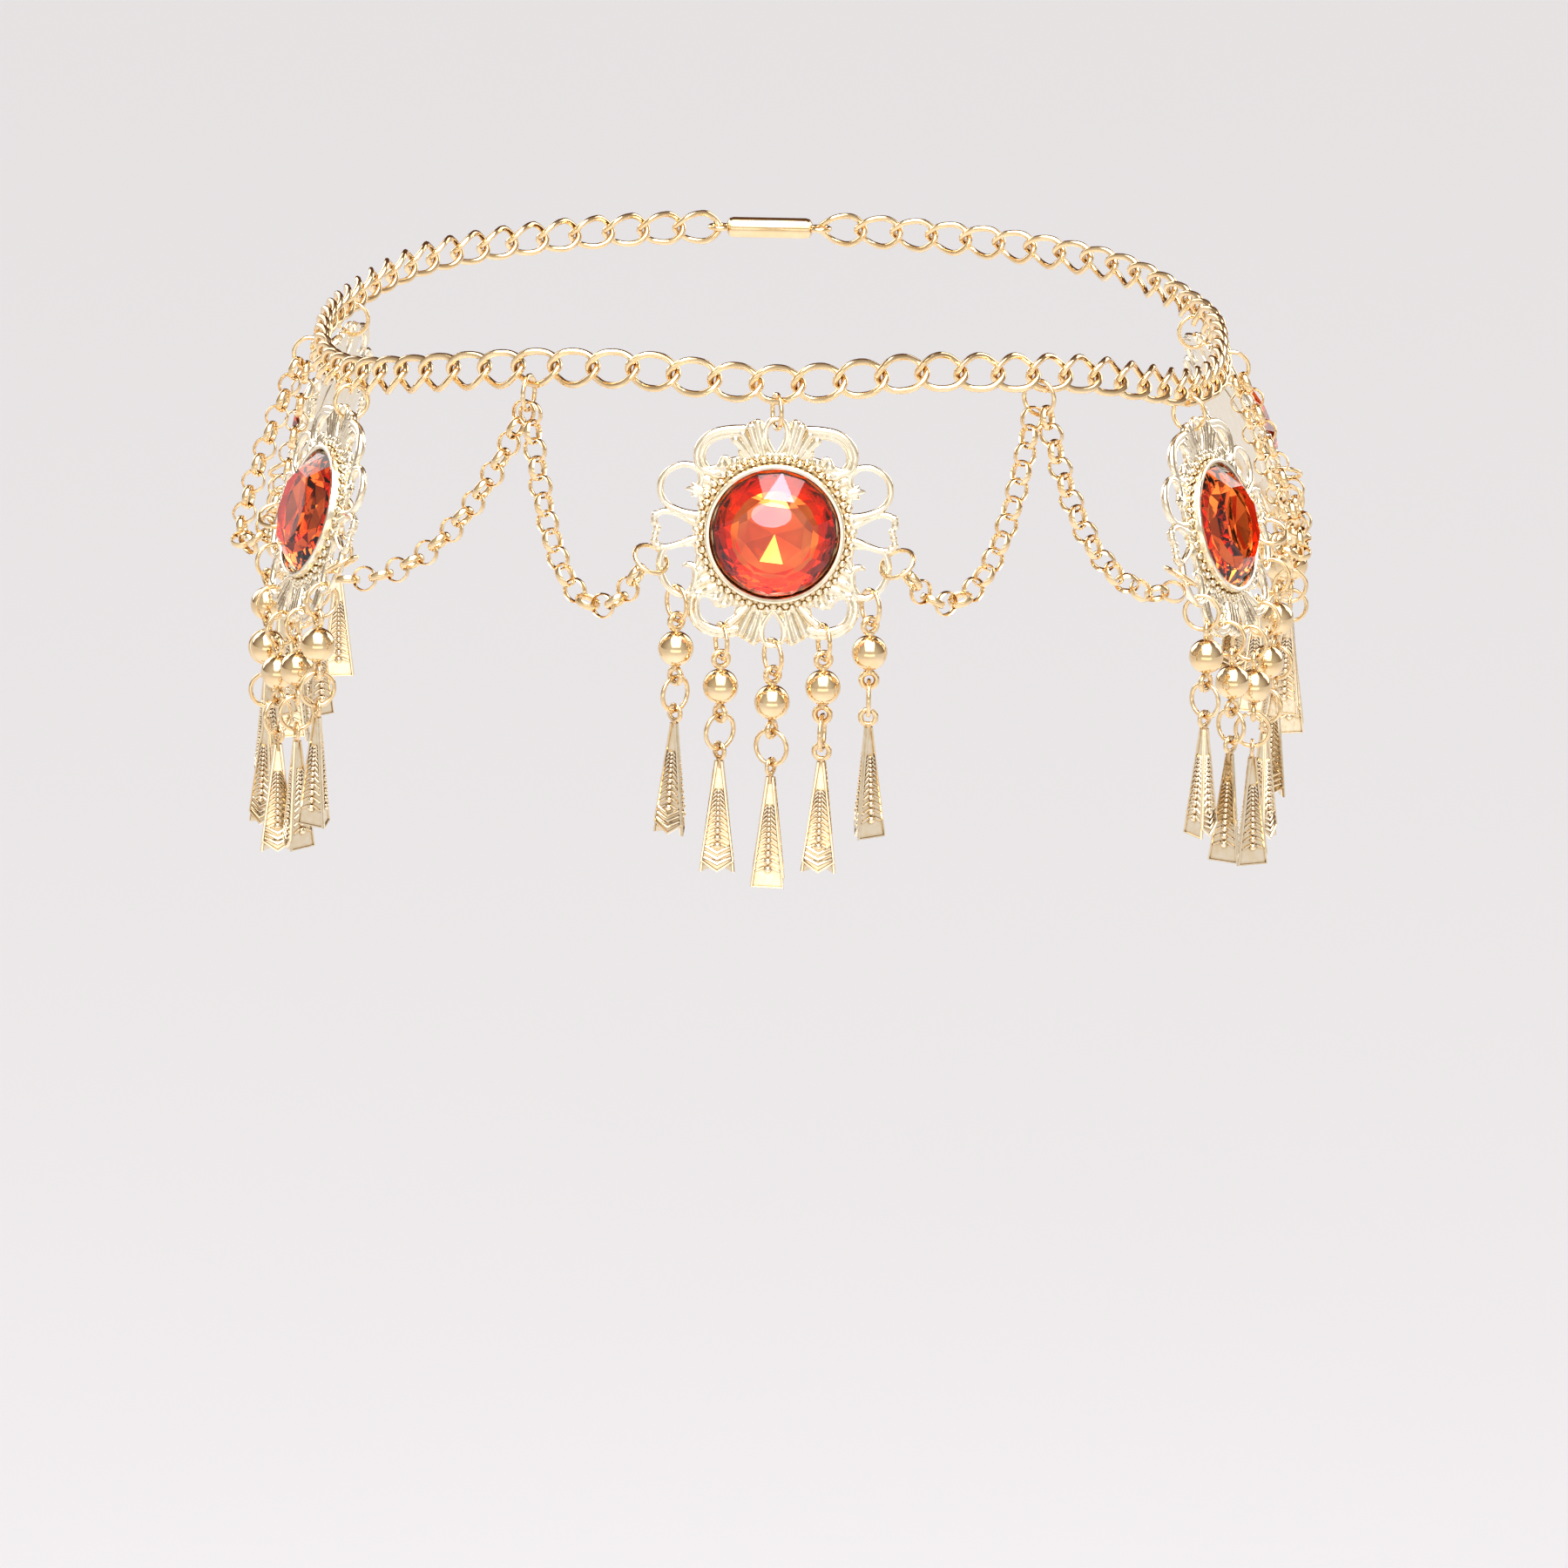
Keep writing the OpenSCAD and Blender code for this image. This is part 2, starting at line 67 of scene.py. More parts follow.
def make_camera():
    """A long lens that puts the loop's middle at its place in the frame."""
    height, turn = math.radians(CAMERA_HEIGHT), math.radians(CAMERA_TURN)
    away = Vector((math.cos(height) * math.sin(turn), -math.cos(height) * math.cos(turn), math.sin(height)))
    bpy.ops.object.camera_add()
    camera = bpy.context.object
    turned = (-away).to_track_quat("-Z", "Y").to_matrix().to_4x4()
    turned @= Matrix.Rotation(math.radians(CAMERA_ROLL), 4, "Z")
    turned.translation = away * CAMERA_DISTANCE
    camera.matrix_world = turned
    camera.data.sensor_width = 36
    camera.data.lens = MM_PIXELS * FRONT_DISTANCE / PHOTO_SIZE * camera.data.sensor_width
    camera.data.shift_x = (PHOTO_SIZE / 2 - MIDDLE_X) / PHOTO_SIZE
    camera.data.shift_y = (MIDDLE_Y - PHOTO_SIZE / 2) / PHOTO_SIZE
    bpy.context.scene.camera = camera


make_camera()


# Materials


def linear(code):
    """An sRGB hex colour as linear red, green, blue and alpha."""
    parts = [int(code[i:i + 2], 16) / 255 for i in (1, 3, 5)]
    return [c / 12.92 if c < 0.04045 else ((c + 0.055) / 1.055) ** 2.4 for c in parts] + [1]


def add(tree, kind, settings=None, **links):
    """Adds a node, sets its properties and sockets, and links its named inputs."""
    node = tree.nodes.new(kind)
    for name, value in (settings or {}).items():
        if name in node.inputs:
            node.inputs[name].default_value = value
        else:
            setattr(node, name, value)
    for name, source in links.items():
        tree.links.new(source, node.inputs[name.replace("_", " ")])
    return node


# How near another face of the same piece has to be for a spot to get painted shade
PAINTED_SHADE_REACH = 0.0005


def gold(name, face, shade, painted_shade, roughness, grain_mm, grain_height):
    """Gold plate on cast or drawn metal: mirror bright, slightly wavy, with painted shade, browner and
    darker, in its hollows and near other faces.
    """
    material = bpy.data.materials.new(name)
    material.use_nodes = True
    tree = material.node_tree
    tree.nodes.clear()
    place = add(tree, "ShaderNodeTexCoord")
    flow = add(tree, "ShaderNodeTexNoise", {"Scale": 1000 / grain_mm, "Detail": 3.0},
               Vector=place.outputs["Object"])
    cloud = add(tree, "ShaderNodeMapRange", {"From Min": 0.3, "From Max": 0.7, "To Min": 0.85, "To Max": 1.0},
                Value=flow.outputs["Fac"])
    # Ambient occlusion paints shade into the base colour: spots near other faces of the piece turn towards
    # the painted shade colour, mixed with a random tone from the noise
    hollow = add(tree, "ShaderNodeAmbientOcclusion",
                 {"samples": 4, "only_local": True, "Distance": PAINTED_SHADE_REACH})
    tone = add(tree, "ShaderNodeMath", {"operation": "MULTIPLY"})
    tree.links.new(cloud.outputs["Result"], tone.inputs[0])
    tree.links.new(hollow.outputs["AO"], tone.inputs[1])
    # The ramp runs from the painted shade colour in deep hollows, through the shade colour, to the face
    # colour
    tint = add(tree, "ShaderNodeValToRGB", Fac=tone.outputs["Value"])
    tint.color_ramp.elements[0].position = 0.15
    tint.color_ramp.elements[0].color = linear(painted_shade)
    tint.color_ramp.elements[1].position = 1.0
    tint.color_ramp.elements[1].color = linear(face)
    tint.color_ramp.elements.new(0.8).color = linear(shade)
    worn = add(tree, "ShaderNodeMapRange", {"From Min": 0.3, "From Max": 0.7, "To Min": roughness * 0.7,
                                            "To Max": roughness * 1.4}, Value=flow.outputs["Fac"])
    dents = add(tree, "ShaderNodeBump", {"Distance": grain_height / 1000, "Strength": 1.0},
                Height=flow.outputs["Fac"])
    shader = add(tree, "ShaderNodeBsdfPrincipled", {"Metallic": 1.0}, Base_Color=tint.outputs["Color"],
                 Roughness=worn.outputs["Result"], Normal=dents.outputs["Normal"])
    add(tree, "ShaderNodeOutputMaterial", Surface=shader.outputs["BSDF"])
    return material


# Pale plate with soft relief, with painted shade, darker and browner, in each hollow between the cast bars
medallion_gold = gold("pale_gold_plate_on_cast_zinc", "#FAF1DE", "#F0DFBA", "#A5804E", 0.15, 1.6, 0.015)
# Warmer and smoother, with sharp highlights along each wire, and brown painted shade where wires come close
chain_gold = gold("gold_plate_on_drawn_wire", "#F7DEB4", "#EAC892", "#9A6634", 0.11, 2.5, 0.008)
# Painted shade, dark between the beads and veins, so that the small relief reads
leaf_gold = gold("gold_plate_on_cast_leaf", "#FAEDD4", "#F0D8AC", "#704A26", 0.12, 1.2, 0.012)


# Width of the paler streaks in the glass, and of the clouds in its silvering
STREAK_MM = 6.25
CLOUD_MM = 2.5


def red_glass():
    """Cut glass, ruby to orange and clear, which shows its bright back through its facets."""
    material = bpy.data.materials.new("ruby_cut_glass")
    material.use_nodes = True
    tree = material.node_tree
    tree.nodes.clear()
    place = add(tree, "ShaderNodeTexCoord")
    melt = add(tree, "ShaderNodeTexNoise", {"Scale": 1000 / STREAK_MM, "Detail": 1.0},
               Vector=place.outputs["Object"])
    tint = add(tree, "ShaderNodeValToRGB", Fac=melt.outputs["Fac"])
    tint.color_ramp.elements[0].position = 0.35
    tint.color_ramp.elements[0].color = linear("#FF5620")
    tint.color_ramp.elements[1].position = 0.65
    tint.color_ramp.elements[1].color = linear("#FF7A30")
    shader = add(tree, "ShaderNodeBsdfPrincipled",
                 {"Roughness": 0.0, "IOR": 1.54, "Transmission Weight": 1.0},
                 Base_Color=tint.outputs["Color"])
    add(tree, "ShaderNodeOutputMaterial", Surface=shader.outputs["BSDF"])
    return material


def silver_foil():
    """Silvering on the back of the glass: a slightly dulled mirror, which throws light back through it."""
    material = bpy.data.materials.new("silvered_foil")
    material.use_nodes = True
    tree = material.node_tree
    tree.nodes.clear()
    place = add(tree, "ShaderNodeTexCoord")
    flow = add(tree, "ShaderNodeTexNoise", {"Scale": 1000 / CLOUD_MM, "Detail": 2.0},
               Vector=place.outputs["Object"])
    tint = add(tree, "ShaderNodeValToRGB", Fac=flow.outputs["Fac"])
    tint.color_ramp.elements[0].color = linear("#E4DEEA")
    tint.color_ramp.elements[1].color = linear("#FDFCFE")
    shader = add(tree, "ShaderNodeBsdfPrincipled", {"Metallic": 1.0, "Roughness": 0.08},
                 Base_Color=tint.outputs["Color"])
    add(tree, "ShaderNodeOutputMaterial", Surface=shader.outputs["BSDF"])
    return material


stone_glass = red_glass()
stone_foil = silver_foil()


# Modelling


def only(piece):
    """Selects one object and nothing else."""
    bpy.ops.object.select_all(action="DESELECT")
    piece.select_set(True)
    bpy.context.view_layer.objects.active = piece
    return piece


def with_modifier(piece, kind, **settings):
    """Adds a modifier and applies it."""
    only(piece)
    modifier = piece.modifiers.new(kind.lower(), kind)
    for name, value in settings.items():
        setattr(modifier, name, value)
    bpy.ops.object.modifier_apply(modifier=modifier.name)
    return piece


def join(pieces):
    """Joins objects into the first of them."""
    bpy.ops.object.select_all(action="DESELECT")
    for piece in pieces:
        piece.select_set(True)
    bpy.context.view_layer.objects.active = pieces[0]
    bpy.ops.object.join()
    return pieces[0]


def bent_bar(points, width, closed=False, taper=None, steps=5, sides=8, handles="AUTO"):
    """A round bar bent smoothly through points, as a mesh. Taper gives its width at each point."""
    bpy.ops.curve.primitive_bezier_curve_add()
    curve = bpy.context.object.data
    curve.dimensions = "3D"
    spline = curve.splines[0]
    spline.bezier_points.add(len(points) - len(spline.bezier_points))
    for i, (knot, point) in enumerate(zip(spline.bezier_points, points)):
        knot.co = Vector(point).to_3d()
        knot.handle_left_type = knot.handle_right_type = handles
        knot.radius = taper[i] / width if taper else 1
    spline.use_cyclic_u = closed
    spline.resolution_u = steps
    curve.bevel_depth = width / 2
    curve.bevel_resolution = (sides - 4) // 2
    curve.use_fill_caps = not closed
    bpy.ops.object.convert(target="MESH")
    return outward(bpy.context.object)


def turned_shape(profile, steps=64):
    """A shape turned on a lathe: a closed outline of radius and height, spun round Z."""
    bpy.ops.mesh.primitive_circle_add(vertices=len(profile), radius=1)
    shape = bpy.context.object
    for corner, (radius, height) in zip(shape.data.vertices, profile):
        corner.co = (radius, 0, height)
    return with_modifier(shape, "SCREW", steps=steps, render_steps=steps, use_merge_vertices=True,
                         use_normal_calculate=True)


def wire_ring(outside, wire, steps, sides):
    """A closed ring of round wire, lying flat round Z."""
    bpy.ops.mesh.primitive_torus_add(major_segments=steps, minor_segments=sides,
                                     major_radius=(outside - wire) / 2, minor_radius=wire / 2)
    return bpy.context.object


def smooth(piece, angle=40):
    """Shades a piece smooth, but for edges sharper than an angle in degrees."""
    only(piece)
    bpy.ops.object.shade_smooth_by_angle(angle=math.radians(angle))
    return piece


def outward(piece):
    """Merges doubles and points a closed mesh's faces outwards."""
    only(piece)
    bpy.ops.object.mode_set(mode="EDIT")
    bpy.ops.mesh.select_all(action="SELECT")
    bpy.ops.mesh.remove_doubles(threshold=0.0005)
    bpy.ops.mesh.normals_make_consistent(inside=False)
    bpy.ops.object.mode_set(mode="OBJECT")
    return piece


def set_piece(name, node, materials, parts):
    """Makes the piece that stands for a CAD node out of placed copies of modelled shapes."""
    whole = bmesh.new()
    for shape, place in parts:
        copy = shape.data.copy()
        copy.transform(place @ MM)
        whole.from_mesh(copy)
        bpy.data.meshes.remove(copy)
    mesh = bpy.data.meshes.new(name)
    whole.to_mesh(mesh)
    whole.free()
    for material in materials:
        mesh.materials.append(material)
    piece = bpy.data.objects.new(name, mesh)
    bpy.context.scene.collection.objects.link(piece)
    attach(piece, "root")
    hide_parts(node)
    return piece


# Places, read from the CAD nodes


def solids_of(node):
    """The separate solids of a CAD node, each as an array of its points."""
    mesh = bmesh.new()
    mesh.from_mesh(nodes[node].data)
    bmesh.ops.remove_doubles(mesh, verts=mesh.verts, dist=1e-6)
    solids, seen = [], set()
    for start in mesh.verts:
        if start in seen:
            continue
        seen.add(start)
        group, ends = [start], [start]
        while ends:
            for edge in ends.pop().link_edges:
                for corner in edge.verts:
                    if corner not in seen:
                        seen.add(corner)
                        group.append(corner)
                        ends.append(corner)
        solids.append(np.array([corner.co for corner in group]))
    mesh.free()
    return solids


def spread(points):
    """The middle of a solid, and its directions of spread, from the shortest to the longest."""
    axes = np.linalg.eigh(np.cov(points.T))[1].T
    reach = points @ axes.T
    middle = (reach.min(0) + reach.max(0)) / 2 @ axes
    return Vector(middle), [Vector(axis) for axis in axes]


def around(radius, angle):
    """A point on a circle round the origin."""
    return radius * math.cos(angle), radius * math.sin(angle)


def frame_at(middle, x, z):
    """A place with its X and Z directions given, turned square."""
    x = x.normalized()
    y = z.cross(x).normalized()
    z = x.cross(y)
    place = Matrix((x, y, z)).transposed().to_4x4()
    place.translation = middle
    return place


def facing(axis, other):
    """An axis, turned round if it points away from another."""
    return axis if axis.dot(other) > 0 else -axis


# Curb chain

LINK_LENGTH = 9.8
LINK_HEIGHT = 6.9
LINK_WIRE = 1.2
# Turn of one end of a link against the other, in degrees
LINK_TWIST = -85


def curb_link():
    """An oval link of drawn wire, twisted along its length."""
    across, up = (LINK_LENGTH - LINK_WIRE) / 2, (LINK_HEIGHT - LINK_WIRE) / 2
    turns = [math.radians(45 * k) for k in range(8)]
    oval = [(across * math.cos(a), up * math.sin(a)) for a in turns]
    link = bent_bar(oval, LINK_WIRE, closed=True, sides=10)
    link.data.transform(Matrix.Rotation(math.radians(90), 4, "X"))
    return with_modifier(link, "SIMPLE_DEFORM", deform_method="TWIST", deform_axis="X",
                         angle=math.radians(LINK_TWIST))


def make_chain():
    """The two halves of the loop, a link at each CAD link."""
    link = smooth(curb_link())
    for side in ("left", "right"):
        places = []
        for solid in solids_of("chain_" + side):
            middle, (thin, high, long) = spread(solid)
            along = facing(long, UP.cross(middle))
            places.append(frame_at(middle, along, facing(high, UP)))
        set_piece("curb_links_" + side, "chain_" + side, [chain_gold],
                  [(link, place) for place in places])
    bpy.data.objects.remove(link)


# Jump rings

RING_D = 6.8
RING_WIRE = 0.8
# Width of the cut and its place round the ring, in degrees
RING_CUT = 4
RING_CUT_AT = 70


def jump_ring():
    """A ring of wire with the fine cut where it was closed, lying flat round Z."""
    radius = (RING_D - RING_WIRE) / 2
    start = RING_CUT / 2 + RING_CUT_AT
    turns = [math.radians(start + (360 - RING_CUT) * k / 12) for k in range(13)]
    return smooth(bent_bar([around(radius, a) for a in turns], RING_WIRE, steps=3, sides=10))


def ring_place(solid, side=Vector((1, 0.01, 0))):
    """Where a ring lies: its Z is its axis, and its Y points up as far as it can."""
    middle, axes = spread(solid)
    axis = facing(axes[0], side)
    return frame_at(middle, UP.cross(axis), axis)


# Medallions: the plate's shapes are given for its right half, from the stone's centre

UPPER_SCROLL = [(5.2, 17.3), (8.2, 17.1), (10.5, 16.5), (12, 15.4), (12.8, 13.9), (12.9, 12.4), (12.4, 11.2),
                (11.1, 10.5), (9.6, 10.5), (8.7, 11.1)]
LOWER_SCROLL = [(9.8, -11.6), (10.9, -10.6), (12.2, -10.6), (13.3, -11.4), (13.6, -12.9), (13.2, -14.7),
                (12.1, -16.1), (10.3, -17), (8.2, -17.3), (6, -16.9)]
UPPER_LOOP = [(12.8, 7.9), (12.5, 8.9), (13.2, 10.6), (15.2, 11.4), (17.2, 10.9), (18.9, 9.5), (19.5, 7.7),
              (19.2, 5.8), (18.2, 4.5), (16.6, 3.6), (14.7, 3), (12.3, 2.7)]
LOWER_LOOP = [(18.7, -3), (19.2, -4.4), (19.4, -6), (18.9, -8), (17.9, -9.6), (16.3, -10.8), (14.8, -10.9),
              (13.5, -10)]
UPPER_ARM = [(12.1, 1), (13.6, 1.5), (15.2, 2.3), (16.9, 3.1), (18.7, 3.3), (20, 2.8), (20.5, 1.7)]
LOWER_ARM = [(20.5, -1.5), (19.9, -2.5), (18.4, -2.8), (16.4, -2.3), (14.4, -1.5), (12.1, -0.9)]
UNDER_ARM = [(16.4, -2.6), (14.4, -2.2), (12.1, -2.2)]
SIDE_KNOBS_AT = [(20.3, 2.7), (20.4, 1.5), (19.9, 0.5), (20.2, -0.6), (20.4, -1.7), (19.7, -2.6)]
CRESCENT = [(15.5, -6.1), (14.4, -5.7), (13.4, -6.4), (13.2, -7.9), (13.6, -9.4), (14.4, -10.5)]
LEAF_SPUR = [(12.2, 6.9), (13.7, 7.2), (15.3, 7.3)]
LEAF_LOBES = [[(12.8, 7), (13.5, 7.8), (14.2, 8.3)], [(12.8, 7), (13.5, 6.4), (14.3, 6)]]
UPPER_SPUR = [(9.4, 10.9), (9.1, 11.9), (8.8, 12.9)]
HEART_SPUR = [(9.7, -11.5), (9.3, -12.2), (9, -13.1)]
FLUTES = [[(1.9, 13), (2.6, 16), (3.2, 18.7)], [(2.6, 12.9), (3.6, 15.5), (4.4, 18)],
          [(3.4, 12.8), (4.6, 14.9), (5.7, 16.8)], [(4.2, 12.6), (5.4, 14.2), (6.9, 15.8)],
          [(4.9, 12.4), (5.6, 13.1), (6.2, 13.8)],
          [(1.9, -13.3), (2.5, -16), (3.2, -18.7)], [(2.6, -13.1), (3.5, -15.6), (4.4, -18)],
          [(3.4, -12.9), (4.6, -15), (5.6, -17.2)], [(4.3, -12.7), (5.7, -14.2), (7.5, -15.7)],
          [(5.1, -12.5), (5.8, -13.2), (6.4, -13.8)]]
ACANTHUS = [[(9.3, 9.3), (10.5, 9.9), (11.8, 10.4)], [(10.3, 8.2), (11.4, 8.8), (12.6, 9.4)],
            [(8.3, 10.2), (8.8, 11.2), (9, 12.2)], [(6.6, 11.2), (7, 12), (7.1, 12.6)],
            [(9.6, -9.2), (11, -10), (12.6, -10.7)], [(10.6, -7.9), (12, -8.6), (13.4, -9.3)],
            [(8.5, -10.2), (9, -11.2), (9.4, -12.1)], [(6.8, -11.2), (7.3, -12), (7.6, -12.7)],
            [(11.6, -5.8), (12.4, -6.6), (13.2, -7.6)], [(12.6, 0), (13.2, 0.3), (13.9, 0.5)]]
UPPER_RIM = [(0, 13.1), (0.7, 14), (1.55, 15.5), (1.85, 17), (1.55, 18.4), (0.8, 19.3), (0, 19.5)]
LOWER_RIM = [(0, -13.2), (0.8, -14.3), (1.6, -15.8), (1.9, -17.2), (1.6, -18.5), (0.8, -19.2), (0, -19.4)]
# Bars of the casting: each one's points, width, height and width at each point
BARS = [
    (UPPER_LOOP, 1.2, 0.65, [1.3] * 3 + [1.2] * 4 + [1.2, 1.25, 1.3, 1.45, 1.6]),
    (LOWER_LOOP, 1.2, 0.65, [1.3] * 8),
    (UPPER_ARM, 1.4, 0.65, [1.6, 1.5, 1.3, 1.2, 1.15, 1.2, 1.3]),
    (LOWER_ARM, 1.4, 0.65, [1.3, 1.2, 1.15, 1.2, 1.35, 1.5]),
    (UNDER_ARM, 1.1, 0.55, [0.6, 1, 1.1]),
    (CRESCENT, 1.4, 0.7, [0.5, 1.1, 1.4, 1.4, 1.2, 1]),
    (LEAF_SPUR, 1.6, 0.75, [1.4, 1.5, 0.4]),
    (LEAF_LOBES[0], 1.2, 0.65, [1.1, 1.1, 0.5]),
    (LEAF_LOBES[1], 1.2, 0.65, [1.1, 1.1, 0.5]),
    (UPPER_SPUR, 1.6, 0.75, [1.5, 1.4, 0.5]),
    (HEART_SPUR, 1.6, 0.75, [1.5, 1.3, 0.5]),
]
# Scrolls, cast as two bars side by side, one higher: points, 1 where the higher bar is the outer one or -1
# where it is the inner one, and width at each point
SCROLLS = [
    (UPPER_SCROLL, 1, [1.4] * 5 + [1.25, 1.15, 1.05, 1.05, 1]),
    (LOWER_SCROLL, -1, [0.95, 1, 1.05] + [1.25] * 7),
]
SCROLL_W = 1.3
SCROLL_HEIGHTS = (0.8, 0.62)
# How far each bar lies from its scroll's line, where it is wider than WIDE_BAR and where it isn't
WIDE_SPACING = 0.45
NARROW_SPACING = 0.25
WIDE_BAR = 1.09
# Flutes that reach further out than this run the fan's whole length and end in a knob
LONG_FLUTE = 14
LONG_FLUTE_W = [0.75, 1.25, 1.55]
SHORT_FLUTE_W = [0.6, 0.8, 0.9]
FLUTE_W = 1.5
ACANTHUS_W = [0.9, 1.3, 0.9]
# Height of the flutes and of the ribs between the body's lobes
RELIEF_H = 0.8
RIM_W = 1.05
RIM_H = 0.85
EDGE_W = 0.85
# Outlines of the webs that the flutes stand on, and of the body round the cup
UPPER_WEB = [(0, 12), (5.6, 12), (6.2, 12.8), (6.5, 13.7), (6.3, 14.6), (6.7, 15.2), (7.3, 16.1), (6.2, 16.7),
             (5, 17.8), (4.7, 18.6), (3.9, 19.2), (3.1, 19.3), (2.2, 19), (1.9, 18), (1.9, 16.8), (1.4, 15.2),
             (0.5, 13.6), (0, 13.1)]
LOWER_WEB = [(0, -12), (5.6, -12), (6.6, -12.6), (6.4, -13.2), (6.7, -14.2), (7.6, -15.2), (8.2, -16),
             (6.8, -16.6), (6, -17.8), (5, -18.5), (3.9, -19.1), (2.4, -19.1), (1.9, -18), (1.9, -17),
             (1.4, -15.4), (0.5, -13.8), (0, -13.3)]
BODY = [(0, 12.6), (5.4, 12.6), (6.6, 12.9), (7.9, 12.6), (8.9, 12.7), (9.4, 11.5), (10.5, 11), (12, 10.4),
        (12.5, 9.2), (12.5, 7.9), (12.9, 6.8), (12.7, 5.4), (12.9, 4.2), (12.9, 2.8), (13.5, 1.5), (14, 0.5),
        (13.5, -0.7), (13.2, -2.6), (12.9, -4.6), (13.2, -6.2), (13.4, -7.8), (13.6, -9.4), (13.3, -10.9),
        (11.6, -10.9), (10.3, -11.6), (9.6, -12.6), (8.9, -12.4), (8, -12.9), (6.8, -12.6), (5.6, -12.7),
        (0, -12.7)]
# Stretches of the body's outline that carry a raised edge
BODY_EDGES = (BODY[3:13], BODY[17:28])

BEZEL_R = 11.95
BEZEL_INNER_R = 11.0
BEZEL_H = 2.9
CUP_R = 10.65
CUP_FLOOR = 0.5
BODY_H = 0.95
WEB_H = 0.85
BEAD_R = 12.55
BEAD_D = 1.4
BEADS = 38
# How far the beads' middles stand above the body
BEAD_LIFT = 0.15
KNOB_R = 13.15
# Room between the cup and the body, and steps of the body's edge along half the cup
CUP_ROOM = 0.15
CUP_STEPS = 24
# Half widths and heights of the knobs: at the flutes' ends, at the sides, and round the bead band
FLUTE_KNOB = (0.78, 0.78, 0.75)
SIDE_KNOB = (0.68, 0.68, 0.7)
BAND_KNOB = (0.62, 0.62, 0.6)
SIDE_KNOB_Z = 0.65
VOXEL = 0.14
# What lies lower than this counts as the plate's back
BACK_DEPTH = 0.15


def mirrored(points):
    """Points of a plate's right half, moved to its left."""
    return [(-x, y) for x, y in points]


def beside(points, shifts):
    """Points moved sideways from the line that they follow."""
    moved = []
    for i, (point, shift) in enumerate(zip(points, shifts)):
        before, after = points[max(i - 1, 0)], points[min(i + 1, len(points) - 1)]
        run = (Vector(after) - Vector(before)).normalized()
        moved.append((point[0] - run.y * shift, point[1] + run.x * shift))
    return moved


def cast_bar(points, width, height, taper=None):
    """A bar of the casting, rounded in front and flat behind."""
    bar = bent_bar(points, width, taper=taper)
    for corner in bar.data.vertices:
        corner.co.z = max(corner.co.z + height, 0)
    return bar


def bump(at, size, height):
    """A rounded knob on the casting."""
    bpy.ops.mesh.primitive_uv_sphere_add(segments=12, ring_count=8, radius=1)
    knob = bpy.context.object
    knob.data.transform(Matrix.Translation((*at, height)) @ Matrix.Diagonal((*size, 1)))
    for corner in knob.data.vertices:
        corner.co.z = max(corner.co.z, 0)
    return knob


def cast_web(outline, height):
    """A flat web of the casting inside an outline."""
    bpy.ops.mesh.primitive_circle_add(vertices=len(outline), fill_type="NGON")
    web = bpy.context.object
    for corner, point in zip(web.data.vertices, outline):
        corner.co = (*point, 0)
    bpy.ops.object.mode_set(mode="EDIT")
    bpy.ops.mesh.select_all(action="SELECT")
    bpy.ops.mesh.extrude_region_move(TRANSFORM_OT_translate={"value": (0, 0, height)})
    bpy.ops.mesh.select_all(action="SELECT")
    bpy.ops.mesh.normals_make_consistent(inside=False)
    bpy.ops.object.mode_set(mode="OBJECT")
    return web


